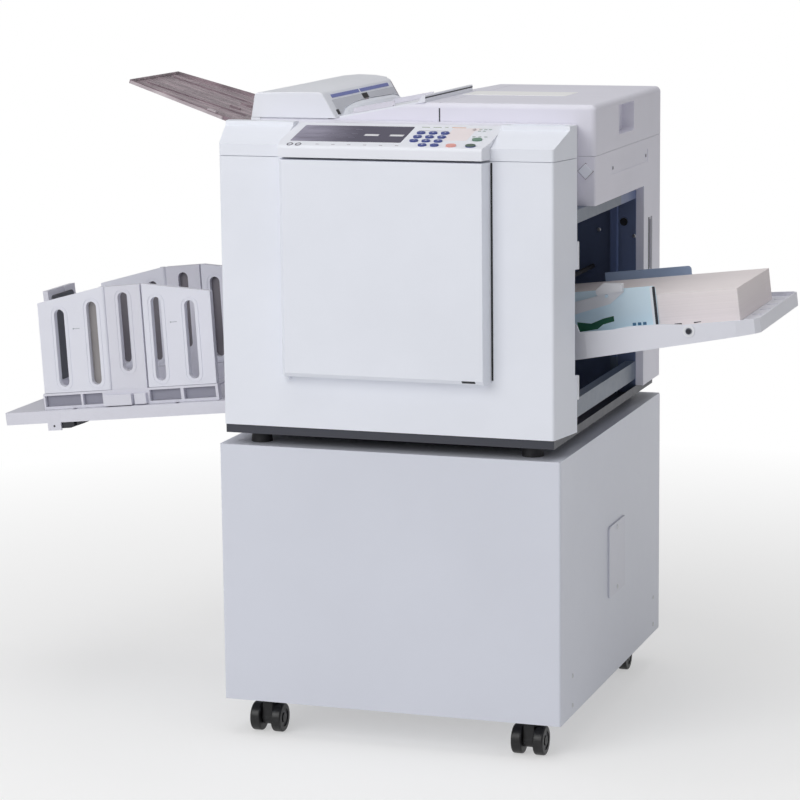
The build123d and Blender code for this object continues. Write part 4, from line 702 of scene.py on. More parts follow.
bodyScrews = {"size": (3.6, 1.4), "scannerX": 298.8, "scannerYs": (-5.0, 225.0), "scannerZ": 960.0,
              "frameY": 208.5, "frame": ((218, 827), (283, 817), (232, 730), (214, 905), (268, 905), (222, 640)),
              "coverY": 330.5, "coverXs": (-285, 285), "coverZs": (560, 740, 893),
              "leftX": -300.0, "leftYs": (-238, 197), "leftZs": (562, 893)}
size = bodyScrews["size"]
addScrews("scannerSideScrews", right, size,
          [(bodyScrews["scannerX"], y, bodyScrews["scannerZ"]) for y in bodyScrews["scannerYs"]], "holeDark")
addScrews("rearFrameScrews", front, size, [(x, bodyScrews["frameY"], z) for x, z in bodyScrews["frame"]])
addScrews("rearCoverScrews", rear, size,
          [(x, bodyScrews["coverY"], z) for x in bodyScrews["coverXs"] for z in bodyScrews["coverZs"]])
addScrews("leftCoverScrews", left, size,
          [(bodyScrews["leftX"], y, z) for y in bodyScrews["leftYs"] for z in bodyScrews["leftZs"]])
print("stage: screws")

# Caster hubs: a stepped cap with a ring on both outer sides, and a domed axle end
hub = {"profile": ((15.5, -0.6), (15.5, 0.5), (14.6, 0.9), (12.8, 0.9), (12.2, 0.3), (7.0, 0.3), (6.4, 1.4),
                   (4.6, 2.0), (1.8, 2.3)), "sunk": 2.3}
for node in sorted(n for n in nodes if n.startswith("caster_wheels_")):
    low, high = corners(node)
    middleY, middleZ = (low[1] + high[1]) / 2, (low[2] + high[2]) / 2
    bm = bmesh.new()
    for plane, x in ((right, high[0] - hub["sunk"]), (left, low[0] + hub["sunk"])):
        turn(bm, {**plane, "origin": Vector((x, middleY, middleZ))}, hub["profile"])
    finishPiece("hubCaps" + "".join(w.title() for w in node.split("_")[2:]), bm, "hubGrey", node)
print("stage: caster hubs")

# Operation panel: lit windows and lines in the display, printed marks, tint fields and small keys
panelPrint = {
    "lit": ((-41, -17, 56, 64), (3, 26, 56, 64)), "litFrame": ((1.4, 1.6), (0.4, 0.8)),
    "lines": {"count": 5, "x": -150, "step": 21, "width": 12, "ys": (46, 64, 86)},
    "marks": {"count": 6, "x": -107, "step": 27.5, "y": 10.5, "width": 6, "height": 1.6},
    "ovals": {"x": -154, "step": 14.5, "y": 8.5, "width": 10.5, "height": 12.5, "line": 1.7},
    "fields": ((100, 140, 40, 102, "printBlush"), (134, 150, 90, 103, "printBlush")),
    "legend": ((44, 58, 103, 105, "printGreen"), (64, 78, 103, 105, "printGreen"), (84, 90, 103, 105, "printGreen"),
               (96, 120, 103, 106, "printAmber"), (44, 96, 86, 87.2, "printGrey")),
    "smallKeys": ((147, 60), (157, 60), (167, 60), (148, 97), (156, 97), (164, 97), (148, 88), (156, 88)),
}
bm = bmesh.new()
for x0, x1, y0, y1 in panelPrint["lit"]:
    plate(bm, panelPlane, roundedBox(x0, x1, y0, y1, 0.8), 0.0, 0.15)
finishPiece("displayLitWindows", bm, "litWindow", "chassis")

bm = bmesh.new()
for x0, x1, y0, y1 in panelPrint["lit"]:
    rim(bm, panelPlane, *(roundedBox(x0 - grow, x1 + grow, y0 - grow, y1 + grow, radius)
                          for grow, radius in panelPrint["litFrame"]), 0.0, 0.25)
lines = panelPrint["lines"]
for i in range(lines["count"]):
    x0 = lines["x"] + i * lines["step"]
    for y in lines["ys"]:
        plate(bm, panelPlane, roundedBox(x0, x0 + lines["width"], y, y + 1.2, 0.5), 0.0, 0.15)
finishPiece("displayPrintedLines", bm, "displayLine", "chassis")

marks = panelPrint["marks"]
markLine = roundedBox(-marks["width"] / 2, marks["width"] / 2, -marks["height"] / 2, marks["height"] / 2, 0.6, 3)
inLine("panelMarksRow", plateUnit("panelMarkUnit", panelPlane, markLine, (0.0, 0.15)), marks["count"],
       spot(panelPlane, marks["x"], marks["y"]), panelPlane["u"] * (marks["step"] / 1000), "printGrey", "chassis")

ovals = panelPrint["ovals"]
bm = bmesh.new()
rim(bm, unitPlane(panelPlane), oval(0, 0, ovals["width"], ovals["height"]),
    oval(0, 0, ovals["width"] - 2 * ovals["line"], ovals["height"] - 2 * ovals["line"]), 0.0, 0.5)
inLine("panelOvalRings", unitObject("panelOvalUnit", bm), 2, spot(panelPlane, ovals["x"], ovals["y"]),
       panelPlane["u"] * (ovals["step"] / 1000), "printDark", "chassis")

for i, (x0, x1, y0, y1, finish) in enumerate(panelPrint["fields"] + panelPrint["legend"]):
    radius = 5 if y1 - y0 > 10 else 0.5
    platePiece("panelPrint%d" % i, panelPlane, roundedBox(x0, x1, y0, y1, radius), (0.0, 0.1), finish, "chassis")
onPlaces("panelSmallKeys", plateUnit("smallKeyUnit", panelPlane, oval(0, 0, 6.0, 4.2, 20), (0.0, 0.9, 0.4)),
         [spot(panelPlane, x, y) for x, y in panelPrint["smallKeys"]], "keyMist", "chassis")


# Numerals, generic, on the caps of the number keys
def numeral(text, x, y, z, size):
    curve = bpy.data.curves.new("numeral", "FONT")
    curve.body = text
    curve.size = size / 1000
    curve.align_x = "CENTER"
    curve.align_y = "CENTER"
    curve.extrude = 0.00006
    curve.resolution_u = 3
    holder = linked("numeral", curve)
    mesh = evaluatedMesh(holder)
    basis = Matrix((panelPlane["u"], panelPlane["v"], panelPlane["n"])).transposed().to_4x4()
    mesh.transform(Matrix.Translation(spot(panelPlane, x, y, z)) @ basis)
    bpy.data.objects.remove(holder)
    return mesh


keyCaps = {"columns": (52.2, 73.0, 93.8), "rows": (73.5, 53.9, 34.3, 14.0), "rise": 2.2, "size": 7.0}
bm = bmesh.new()
for y, line in zip(keyCaps["rows"], ("123", "456", "789", " 0.")):
    for x, text in zip(keyCaps["columns"], line):
        if text != " ":
            bm.from_mesh(numeral(text, x, y, keyCaps["rise"], keyCaps["size"]))
finishPiece("keyNumerals", bm, "printWhite", "number_keys")
clearKey = {"outline": (155.0, 14.0, 17.6, 13.1), "heights": (1.5, 2.6, 0.5)}
platePiece("clearKeyCap", panelPlane, oval(*clearKey["outline"]), clearKey["heights"], "capGreen", "number_keys")
print("stage: operation panel")

# Right shelf of the upper casing: low ridges that stop papers from sliding
shelf = {"x": (200.0, 291.0), "y": -273.0, "step": 7.0, "count": 3, "z": 1053.5, "width": 1.6, "height": 0.9}
ridgeLine = roundedBox(*shelf["x"], -shelf["width"] / 2, shelf["width"] / 2, 0.7, 4)
inLine("shelfRidges", plateUnit("shelfRidgeUnit", level, ridgeLine, (0.0, shelf["height"], 0.3)), shelf["count"],
       (0, shelf["y"] / 1000, shelf["z"] / 1000), (0, shelf["step"] / 1000, 0), "casingWhite", "chassis")

# Rear edge of the front casing: two clips beside the notch, each with a dark hole
clips = {"x": (-308.0, -297.0), "heights": ((818, 864), (601, 642)), "y": -253.5, "holes": (849, 614),
         "holeX": (-305.6, -300.6), "holeHalf": 4}
clipPlane = facing((0, clips["y"], 0), (-1, 0, 0), (0, 0, 1))
bm = bmesh.new()
for low, high in clips["heights"]:
    plate(bm, clipPlane, roundedBox(*clips["x"], low, high, 1.2), -0.2, 1.8, 0.4)
finishPiece("casingClips", bm, "leverWhite", "chassis")
bm = bmesh.new()
for z in clips["holes"]:
    plate(bm, clipPlane, roundedBox(*clips["holeX"], z - clips["holeHalf"], z + clips["holeHalf"], 1.8), 1.8, 2.0)
finishPiece("casingClipHoles", bm, "holeDark", "chassis")

# Front casing: painted shade in the gap along the door's right edge
doorGap = {"x": (183.4, 186.6), "z": (641.0, 998.0), "y": -337.5, "heights": (-0.2, 0.3)}
platePiece("doorSideGap", facing((0, doorGap["y"], 0), (1, 0, 0), (0, 0, 1)),
           roundedBox(*doorGap["x"], *doorGap["z"], 1.2, 3), doorGap["heights"], "gapBlack", "chassis")

# Front door: the pale floor of the finger notch at its lower edge, and painted shade under it on the chamfer
doorNotch = {"x": (141.0, 164.0), "z": (645.0, 648.0), "depth": (-1.6, -0.4), "chamferTop": 644.0,
             "chamfer": (-6.6, -0.5), "catchHeights": (-0.1, 0.15)}
doorFront = corners("front_door")[0][1]
platePiece("doorNotchFloor", facing((0, doorFront, 0), (1, 0, 0), (0, 0, 1)),
           roundedBox(*doorNotch["x"], *doorNotch["z"], 0.2, 2), doorNotch["depth"], "casingWhite", "door")
platePiece("doorCatch", facing((0, doorFront, doorNotch["chamferTop"]), (1, 0, 0), (0, -0.7071, 0.7071)),
           roundedBox(*doorNotch["x"], *doorNotch["chamfer"], 0.6, 3), doorNotch["catchHeights"], "gapBlack", "door")

# Rear cover's right side: painted shade and painted light in the dish that the upright slot lies in
coverDish = {"shade": (243.5, 252.8), "light": (261.2, 272.0), "z": (749.0, 847.0), "heights": (-0.2, 0.2)}
dishSide = facing((corners("rear_cover")[1][0], 0, 0), (0, 1, 0), (0, 0, 1))
for name, finish in (("shade", "dishShade"), ("light", "dishLight")):
    platePiece("coverDish" + name.title(), dishSide, roundedBox(*coverDish[name], *coverDish["z"], 1.0, 3),
               coverDish["heights"], finish, "chassis")

# Scanner's front face: the diamond grip beside the casing, with a painted shadow line round it
diamond = {"place": (282.7, -119.5, 965.2), "reach": 13.0, "heights": (0.0, 3.0, 1.6), "line": 1.09}
diamondPlane = facing(diamond["place"], (1, 0, 0), (0, 0, 1))
square = [(diamond["reach"] * x, diamond["reach"] * y) for x, y in ((1, 0), (0, 1), (-1, 0), (0, -1))]
platePiece("diamondGrip", diamondPlane, square, diamond["heights"], "casingWhite", "chassis")
# A painted shadow line round the grip
bm = bmesh.new()
rim(bm, diamondPlane, [(x * diamond["line"], y * diamond["line"]) for x, y in square], square, 0.0, 0.4)
finishPiece("diamondShadowLine", bm, "printGrey", "chassis")

# Platen cover: painted shade in its front seam, the pale inset on its top and a painted shadow line along the table's
# raised end
lidLow, lidHigh = corners("platen_cover")
lid = {"seam": (25.0, 27.4, 1000.0, 1067.0), "inset": (8, 196, 64, 150), "insetHeights": (0.0, 0.5, 0.3)}
platePiece("lidFrontSeam", facing((0, lidLow[1], 0), (1, 0, 0), (0, 0, 1)), roundedBox(*lid["seam"], 0.3, 2),
           (-0.2, 0.2), "seamDark", "lid")
platePiece("lidTopInset", facing((0, 0, lidHigh[2]), (1, 0, 0), (0, 1, 0)), roundedBox(*lid["inset"], 4),
           lid["insetHeights"], "insetPale", "lid")

tableLow, tableHigh = corners("original_table")
tableShadow = {"height": 2.2, "drop": 2.6}
shadowTop = tableHigh[2] - tableShadow["drop"]
platePiece("tableEndShadow", facing((tableHigh[0], 0, 0), (0, 1, 0), (0, 0, 1)),
           roundedBox(tableLow[1], tableHigh[1], shadowTop - tableShadow["height"], shadowTop, 0.6, 3), (0.0, 0.3),
           "seamDark", "lid")

# Original feeder: a hood with a domed top, a slanted right face over an arched mouth, and rounded rear
feeder = {"front": -119.5, "rear": 264.0, "low": 1046.5, "top": 1090.5, "crown": 6.5, "leftLow": -318.0,
          "leftTop": -311.0, "faceLow": -161.5, "faceTop": -185.5, "shoulder": 1087.5, "roundRight": 30.0,
          "roundLeft": 20.0, "roundTop": 15.0, "softFront": 1.8, "wall": 3.0,
          "mouth": ((-95, 0), (-80, 4.5), (-49, 13.5), (0, 18.5), (40, 20), (103, 20), (218, 18), (238, 14),
                    (252, 5), (258, 0))}


# How far a corner of the hood is rounded in at one place along it
def roundedIn(y, radius):
    past = max(0.0, y - (feeder["rear"] - radius))
    return radius - math.sqrt(max(radius * radius - past * past, 0.0))


# How high the mouth under the slanted face is at one place along it
def mouthRise(y):
    spots = feeder["mouth"]
    if y <= spots[0][0] or y >= spots[-1][0]:
        return 0.0
    for (y0, z0), (y1, z1) in zip(spots, spots[1:]):
        if y <= y1:
            return z0 + (z1 - z0) * (y - y0) / (y1 - y0)


def crownRise(y):
    share = min(1.0, max(0.0, (y - feeder["front"]) / 300.0))
    return feeder["crown"] * math.sin(share * math.pi / 2)


# The hood's outline (x, z) at one place, from its lower left over the top to its lower right
def hoodSection(y, inset=0.0):
    inRight, inLeft = roundedIn(y, feeder["roundRight"]) + inset, roundedIn(y, feeder["roundLeft"]) + inset
    drop, crown, lift = roundedIn(y, feeder["roundTop"]) + inset, crownRise(y), mouthRise(y)
    low, top, faceTop, faceLow = feeder["low"], feeder["top"] - drop, feeder["faceTop"], feeder["faceLow"]
    lean = (faceTop - faceLow) / (feeder["shoulder"] - low)
    edge = feeder["leftTop"] + inLeft
    return [(feeder["leftLow"] + inLeft, low), (edge - 0.9, 1082.0 - drop), (edge + 0.7, 1086.2 - drop),
            (edge + 4.6, 1088.6 - drop), (-280.0, top - 0.8 + crown * 0.7), (-250.0, top + crown),
            (-218.0, top + 0.3 + crown * 0.8), (-198.0, top + 0.4 + crown * 0.3), (-190.5 - inRight, top - 0.3),
            (-187.0 - inRight, top - 1.6), (faceTop - inRight, feeder["shoulder"] - drop),
            (faceLow - inRight + lean * lift, low + lift)]


def stationsAlong(low, high, step, fine=()):
    count = max(1, int((high - low) / step))
    return sorted({low + (high - low) * i / count for i in range(count + 1)} | set(fine))


hoodFront, softFront = feeder["front"], feeder["softFront"]
rearFine = [feeder["rear"] - v for v in (30, 25, 20, 15, 11, 8, 5.5, 3.5, 2, 1, 0.3)]
mouthFine = [y for y, rise in feeder["mouth"]]
hoodYs = stationsAlong(hoodFront + softFront, feeder["rear"], 24, rearFine + mouthFine)
bm = bmesh.new()
loftAlongY(bm, [(hoodFront, hoodSection(hoodFront, softFront)),
                (hoodFront + 0.5, hoodSection(hoodFront, softFront * 0.4))] + [(y, hoodSection(y)) for y in hoodYs])
hoodShell = unitObject("hoodShell", bm)


# The hollow in the hood, as an outline (x, z) at one place
def hollowSection(y):
    wall, low = feeder["wall"], feeder["low"] - 2
    return [(feeder["leftLow"] + wall + 2, low), (feeder["leftTop"] + wall + 2, 1082.0),
            (-250, feeder["top"] - wall + crownRise(y) * 0.8), (feeder["faceTop"] - 4, 1083.0),
            (feeder["faceLow"] - 6.5, low)]


bm = bmesh.new()
loftAlongY(bm, [(y, hollowSection(y)) for y in
                (hoodFront + feeder["wall"], -60, 0, 60, 120, 180, feeder["rear"] - 34)])
cutter = unitObject("feederCavity", bm)
hollowing = hoodShell.modifiers.new("hollow", "BOOLEAN")
hollowing.operation = "DIFFERENCE"
hollowing.solver = "EXACT"
hollowing.object = cutter
bm = bmesh.new()
bm.from_mesh(evaluatedMesh(hoodShell))
bpy.data.objects.remove(hoodShell)
bpy.data.objects.remove(cutter)
hingeKnuckles = {"x": -336.0, "z": 1064.5, "radius": 6.0, "hood": ((20, 30), (222, 232)), "hoodFoot": 1064.5,
                 "base": ((30.4, 42), (210, 221.6)), "baseFoot": 1051.0}


def addKnuckle(bm, y0, y1, footZ):
    radius, turns = hingeKnuckles["radius"], [math.radians(a) for a in range(60, 301, 20)]
    shape = [(hingeKnuckles["x"] + radius * math.cos(t), hingeKnuckles["z"] + radius * math.sin(t)) for t in turns]
    shape += [(feeder["leftLow"] + 4, footZ - 5.0), (feeder["leftLow"] + 6, footZ + 5.0)]
    loftAlongY(bm, [(y0, shape), (y1, shape)])


for y0, y1 in hingeKnuckles["hood"]:
    addKnuckle(bm, y0, y1, hingeKnuckles["hoodFoot"])
hood = finishPiece("feederHood", bm, "feederGrey", "feeder_cover")
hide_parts("adf_cover")

# Its base: the overhang beside the lid, an open box under the hood, and a white hump in the mouth
feederBox = {"box": (-313.0, -176.0, -116.0, 226.0), "wall": 9.0, "floor": 1045.0, "floorTop": 1048.0,
             "height": 1056.0, "overhang": (-318.0, -301.0, 1012.0, 1046.0), "overhangRear": 262.0}
bm = bmesh.new()
x0, x1, y0, y1 = feederBox["box"]
wall = feederBox["wall"]
inner = roundedBox(x0 + wall, x1 - wall, y0 + wall, y1 - wall, 2.0, 3)
rim(bm, level, roundedBox(x0, x1, y0, y1, 2.0, 3), inner, feederBox["floor"], feederBox["height"])
plate(bm, level, inner, feederBox["floor"], feederBox["floorTop"])
x0, x1, low, high = feederBox["overhang"]
loftAlongY(bm, [(y, [(x0, low), (x1, low), (x1, high), (x0, high)]) for y in (hoodFront, feederBox["overhangRear"])])
for y0, y1 in hingeKnuckles["base"]:
    addKnuckle(bm, y0, y1, hingeKnuckles["baseFoot"])
feederBase = finishPiece("feederBase", bm, "feederGrey", "lid")
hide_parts("adf_body")

bm = bmesh.new()
hump = []
for y in [v for v in hoodYs if -96 <= v <= 257] + [257.5]:
    z = feeder["low"] + max(0.35, mouthRise(y) - 1.2)
    edge = roundedIn(y, feeder["roundRight"])
    hump.append((y, [(-158.0 - edge, 1045.2), (-158.0 - edge, 1045.5 + (z - 1045.5) * 0.35),
                     (-164.0 - edge, 1045.5 + (z - 1045.5) * 0.8), (-171.0 - edge, z),
                     (-196.0 - edge * 0.3, z), (-196.0 - edge * 0.3, 1045.2)]))
loftAlongY(bm, hump)
finishPiece("feederMouthPlate", bm, "casingWhite", "lid")

# Two rubber rollers inside, seen when the hood is up
rollers = {"xs": (-262.0, -222.0), "y": -70, "z": 1053.5,
           "profile": ((2.4, -30), (2.4, 8), (5.2, 8.5), (5.2, 60), (2.4, 60.5), (2.4, 110), (5.2, 110.5),
                       (5.2, 162), (2.4, 162.5), (2.4, 220))}
bm = bmesh.new()
for x in rollers["xs"]:
    axis = {"origin": Vector((x, rollers["y"], rollers["z"])), "u": Vector((1, 0, 0)), "v": Vector((0, 0, 1)),
            "n": Vector((0, 1, 0))}
    turn(bm, axis, rollers["profile"], 20)
finishPiece("feederRollers", bm, "rollerRubber", "lid")

# On its face: two blue strips, a band of painted shade, a dark window, painted shade in the intake slot, and a small
# plate and a seam near the rear.
# Each mark has its ends along Y and its lower and upper share of the face's height
faceMarks = (("Strips", "stripBlue", 0.8, ((-85, 55, 0.79, 0.92), (63, 214, 0.79, 0.92))),
             ("Band", "feederShade", 0.25, ((-92, 234, 0.0, 0.72),)),
             ("Window", "squareBlack", 0.6, ((60, 88, 0.5, 0.72), (-98, -86, 0.12, 0.32))),
             ("Label", "printGrey", 0.5, ((64, 82, 0.38, 0.45), (236, 238.5, 0.3, 0.95))))


def facePatch(bm, y0, y1, lowShare, highShare, proud, step=9.0):
    frontSection = hoodSection(hoodFront)
    rows = []
    for y in stationsAlong(y0, y1, step, [v for v in mouthFine if y0 < v < y1]):
        topX, topZ = hoodSection(y)[-2]
        footX, footZ = frontSection[-1][0] + topX - frontSection[-2][0], feeder["low"]
        low = max(lowShare, (mouthRise(y) + 1.0) / (topZ - footZ))
        rows.append((y, [(footX + (topX - footX) * share + out * 0.86, footZ + (topZ - footZ) * share + out * 0.51)
                         for share, out in ((low, -0.3), (low, proud), (highShare, proud), (highShare, -0.3))]))
    loftAlongY(bm, rows)


for name, finish, proud, patches in faceMarks:
    bm = bmesh.new()
    for patch in patches:
        facePatch(bm, *patch, proud)
    finishPiece("feederFace" + name, bm, finish, "feeder_cover")
print("stage: covers and feeder")

# Tray for read originals: a sheet with a rim round three sides, stiffening ribs and a painted highlight along its
# edge
tray = {"angle": 16.7, "root": (-350.0, 32.0, 1034.0), "start": -33.0, "bend": 20.0, "reach": 227.0,
        "rootHalf": 151.0, "tipHalf": 108.0, "thick": 2.5, "rim": 4.5, "rimWidth": 2.5, "ribs": (-62, 62),
        "ribLength": (16, 214), "ribWidth": 3.0, "ribHeight": 1.6, "stopX": (40, 62), "stopYs": (-28, 28),
        "edge": (24, 224), "edgeWidth": 1.6, "clip": (40, 58), "clipDepth": 9}
leanCos, leanSin = math.cos(math.radians(tray["angle"])), math.sin(math.radians(tray["angle"]))
trayPlane = {"origin": Vector(tray["root"]), "u": Vector((-leanCos, 0, leanSin)), "v": Vector((0, -1, 0)),
             "n": Vector((leanSin, 0, leanCos))}


def sheetOutline(inset):
    start, bend, reach = tray["start"], tray["bend"], tray["reach"] - inset
    wide, tip = tray["rootHalf"] - inset, tray["tipHalf"] - inset
    return [(start, -wide), (bend, -wide), (reach, -tip), (reach, tip), (bend, wide), (start, wide)]


sheetTop, rimTop = tray["thick"], tray["thick"] + tray["rim"]
bm = bmesh.new()
plate(bm, trayPlane, sheetOutline(0), 0.0, sheetTop)
plate(bm, trayPlane, sheetOutline(0) + sheetOutline(tray["rimWidth"])[::-1], sheetTop, rimTop)
for y in tray["stopYs"]:
    plate(bm, trayPlane, roundedBox(*tray["stopX"], y - 2, y + 2, 1.2), sheetTop - 0.2, sheetTop + 3.0, 0.6)
for y in tray["ribs"]:
    plate(bm, trayPlane, roundedBox(*tray["ribLength"], y - tray["ribWidth"] / 2, y + tray["ribWidth"] / 2, 1.4),
          sheetTop - 0.2, sheetTop + tray["ribHeight"], 0.5)
originalTray = finishPiece("readOriginalsTray", bm, "smokePurple", "lid")
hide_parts("original_tray")

trayRun = Vector((tray["reach"] - tray["bend"], tray["tipHalf"] - tray["rootHalf"]))
across = Vector((-trayRun.y, trayRun.x)).normalized() * tray["edgeWidth"]


def edgeSpot(away):
    return Vector((away, tray["rootHalf"] + trayRun.y * (away - tray["bend"]) / trayRun.x))


# The pale line along the tray's edge is a painted highlight; the raised pale clip beside it also paints a glint
bm = bmesh.new()
near, far = (edgeSpot(away) for away in tray["edge"])
plate(bm, trayPlane, [near, far, far + across, near + across], 0.4, rimTop - 1.2)
near, far = (edgeSpot(away) for away in tray["clip"])
inward = Vector((0, tray["clipDepth"]))
plate(bm, trayPlane, [near - inward, far - inward, far + across, near + across], rimTop, rimTop + 2.4, 0.8)
finishPiece("trayPaleEdge", bm, "trayPale", "lid")

# Feed table: collar round the button, dark notches beside it and ribs at the bed's end
feedTray = {"buttonX": 242.5, "half": 191.0, "wallStart": 162.0, "wallRun": 96.0, "wallDrop": 8.0,
            "buttonUp": -3.0, "collar": (9.6, 5.8), "cap": 8.6,
            "ribs": {"count": 5, "first": -120.0, "step": 60.0, "x": (322, 344), "half": 1.5}}
wallRun, wallDrop = feedTray["wallRun"], feedTray["wallDrop"]
buttonY = -(feedTray["half"] - (feedTray["buttonX"] - feedTray["wallStart"]) * wallDrop / wallRun)
wallReach = math.hypot(wallRun, wallDrop)
along = feedPlane["u"] * (wallRun / wallReach) + Vector((0, wallDrop / wallReach, 0))
buttonPlane = facing(spot(feedPlane, feedTray["buttonX"], buttonY, feedTray["buttonUp"]) * 1000, along,
                     feedPlane["n"])
bm = bmesh.new()
rim(bm, buttonPlane, *(oval(0, 0, 2 * radius, 2 * radius) for radius in feedTray["collar"]), -0.2, 1.6)
finishPiece("buttonCollar", bm, "leverWhite", "elevator")
platePiece("buttonCap", buttonPlane, oval(0, 0, feedTray["cap"], feedTray["cap"]), (3.0, 3.6, 0.3), "lineBlack",
           "tray_down_button")
bm = bmesh.new()
for side in (-1, 1):
    notch = [(side * 10, 12.4), (side * 22, 13.6), (side * 22, 14.6), (side * 10, 14.6)]
    plate(bm, buttonPlane, notch[::side], 0.0, 0.25)
finishPiece("buttonNotches", bm, "lineBlack", "elevator")
ribs = feedTray["ribs"]
ribLine = roundedBox(*ribs["x"], -ribs["half"], ribs["half"], 1.4)
inLine("bedEndRibs", plateUnit("bedRibUnit", feedPlane, ribLine, (0.0, 1.2, 0.4)), ribs["count"],
       spot(feedPlane, 0, ribs["first"]), (0, ribs["step"] / 1000, 0), "trayGrey", "elevator")

# Front fence: a painted highlight line and a painted shadow line at its outer edge, a plain green band and small blue
# marks
fence = {"away": 2.8, "white": (170.5, 174.6, 2, 69), "black": (174.6, 179.4, 2, 69), "heights": (0.0, 0.2),
         "band": ((40, 2), (74, 5), (84, 12), (104, 16), (104, 25), (86, 22), (64, 15), (40, 19)),
         "marks": {"count": 3, "x": 138, "step": 9, "y": 6, "width": 6, "height": 5}}
fencePlane = beside(feedPlane, -(machine["paperHalf"] + fence["away"]))
for name, finish in (("white", "lineWhite"), ("black", "lineBlack")):
    platePiece("fence" + name.title() + "Line", fencePlane, roundedBox(*fence[name], 1.0), fence["heights"], finish,
               "fence_front")
platePiece("fenceGreenBand", fencePlane, fence["band"], fence["heights"], "bandGreen", "fence_front")
blue = fence["marks"]
blueLine = roundedBox(-blue["width"] / 2, blue["width"] / 2, 0, blue["height"], 0.8, 3)
inLine("fenceBlueMarks", plateUnit("fenceMarkUnit", fencePlane, blueLine, fence["heights"]), blue["count"],
       spot(fencePlane, blue["x"], blue["y"]), fencePlane["u"] * (blue["step"] / 1000), "markBlue", "fence_front")
print("stage: feed table")

# Delivery panels: a raised rim round every slot, on both faces of the wings and the outer face of the middle plates,
# and a small arrow between the slots of each front wing
panels = {"middleX": -241.5, "middleWidth": 68.0, "gap": 1.0, "first": 28.0, "pitch": 64.0, "wing": 133.0,
          "foot": 29.0, "height": 185.0, "drop": 21.0, "lean": 2.7, "slotWidth": 19.5, "slotLow": 11.0,
          "slotTop": 20.0, "middleLow": 32.0, "middleTop": 12.0, "rimOut": 6.5, "rimWidth": 1.3, "rimHeight": 0.8,
          "faceNear": 129.5, "faceFar": 141.5, "arrowZ": 143.1}
foot, leanSlope = panels["foot"], math.tan(math.radians(panels["lean"]))


# The outline of a slot that leans, with its width grown all round
def leanedSlot(x, low, high, grow, flip):
    middle, tall = (low + high) / 2, (high - low) / 2 + grow
    wide = panels["slotWidth"] / 2 + grow
    shape = roundedBox(-wide, wide, -tall, tall, wide - 0.05, 8)
    centre = x + leanSlope * (middle - foot)
    return [(flip * px, py) for px, py in turned(shape, centre, middle, -panels["lean"])][::flip]


# Every slot of a side plate as (x, low, high), by the panel that it is in
def panelSlots():
    top = foot + panels["height"]
    slots = {"Middle": [(panels["middleX"], foot + panels["middleLow"], top - panels["middleTop"])]}
    for label, way in (("Left", -1), ("Right", 1)):
        near = panels["middleX"] + way * (panels["middleWidth"] / 2 + panels["gap"])
        aways = [panels["first"] + i * panels["pitch"] for i in (0, 1)]
        slots[label] = [(near + way * away, foot + panels["slotLow"],
                         top - panels["drop"] * away / panels["wing"] - panels["slotTop"]) for away in aways]
    return slots


slotPlan = panelSlots()
for sideName, side in (("front", -1), ("rear", 1)):
    for label, slots in slotPlan.items():
        isMiddle = label == "Middle"
        body = "side_plate_" + sideName if isMiddle else "wing_%s_%s" % (sideName, label.lower())
        faces = [(panels["faceFar"], side)] if isMiddle else [(panels["faceFar"], side), (panels["faceNear"], -side)]
        bm = bmesh.new()
        for distance, way in faces:
            facePlane = beside(deliveryPlane, side * distance, way)
            for x, low, high in slots:
                rim(bm, facePlane, leanedSlot(x, low, high, panels["rimOut"], -way),
                    leanedSlot(x, low, high, panels["rimOut"] - panels["rimWidth"], -way), 0.0, panels["rimHeight"])
        finishPiece("slotRims" + sideName.title() + label, bm, "plateBase" if isMiddle else "platePanel", body)
        if isMiddle or side > 0:
            continue
        bm = bmesh.new()
        facePlane = beside(deliveryPlane, side * panels["faceFar"], side)
        x, z = (slots[0][0] + slots[1][0]) / 2 + leanSlope * 100, panels["arrowZ"]
        plate(bm, facePlane, roundedBox(x - 7, x + 7, z - 0.5, z + 0.5, 0.4, 2), 0.0, 0.2)
        plate(bm, facePlane, [(x - 7, z), (x - 4.4, z - 1.5), (x - 4.4, z + 1.5)], 0.0, 0.2)
        finishPiece("panelArrow" + label, bm, "markPale", body)

# Foot strips: painted shade on the floors of the pockets
pockets = {"xs": ((-168, -97), (-93, -54), (38, 98), (104, 165)), "z": (5.3, 24.7), "depth": 10.0,
           "stripFace": 144.5, "inset": 0.3}
for sideName, side in (("front", -1), ("rear", 1)):
    facePlane = beside(deliveryPlane, side * (pockets["stripFace"] - pockets["depth"]), side)
    bm = bmesh.new()
    for x0, x1 in pockets["xs"]:
        ends = sorted(-side * (panels["middleX"] + x) for x in (x0 + pockets["inset"], x1 - pockets["inset"]))
        plate(bm, facePlane, roundedBox(*ends, *pockets["z"], 0.6, 2), -0.1, 0.3)
    finishPiece("pocketFloors" + sideName.title(), bm, "pocketShade", "side_plate_" + sideName)

# Rear panels: a sheet of painted shade behind their slots, which face the wall behind, and one in the front left wing
shadeSheet = {"heights": (-1.0, 0.0), "inset": 0.3, "rearSunk": 2.0, "frontSunk": 1.2}
for label, slots in slotPlan.items():
    body = "side_plate_rear" if label == "Middle" else "wing_rear_" + label.lower()
    bm = bmesh.new()
    facePlane = beside(deliveryPlane, panels["faceFar"] - shadeSheet["rearSunk"], 1)
    for x, low, high in slots:
        plate(bm, facePlane, leanedSlot(x, low, high, -shadeSheet["inset"], -1), *shadeSheet["heights"])
    finishPiece("slotLiners" + label, bm, "slotShade", body)
platePiece("slotLinerFrontLeft", beside(deliveryPlane, -panels["faceNear"] - shadeSheet["frontSunk"], -1),
           leanedSlot(*slotPlan["Left"][0], -shadeSheet["inset"], 1), shadeSheet["heights"], "backShade", "wing_front_left")

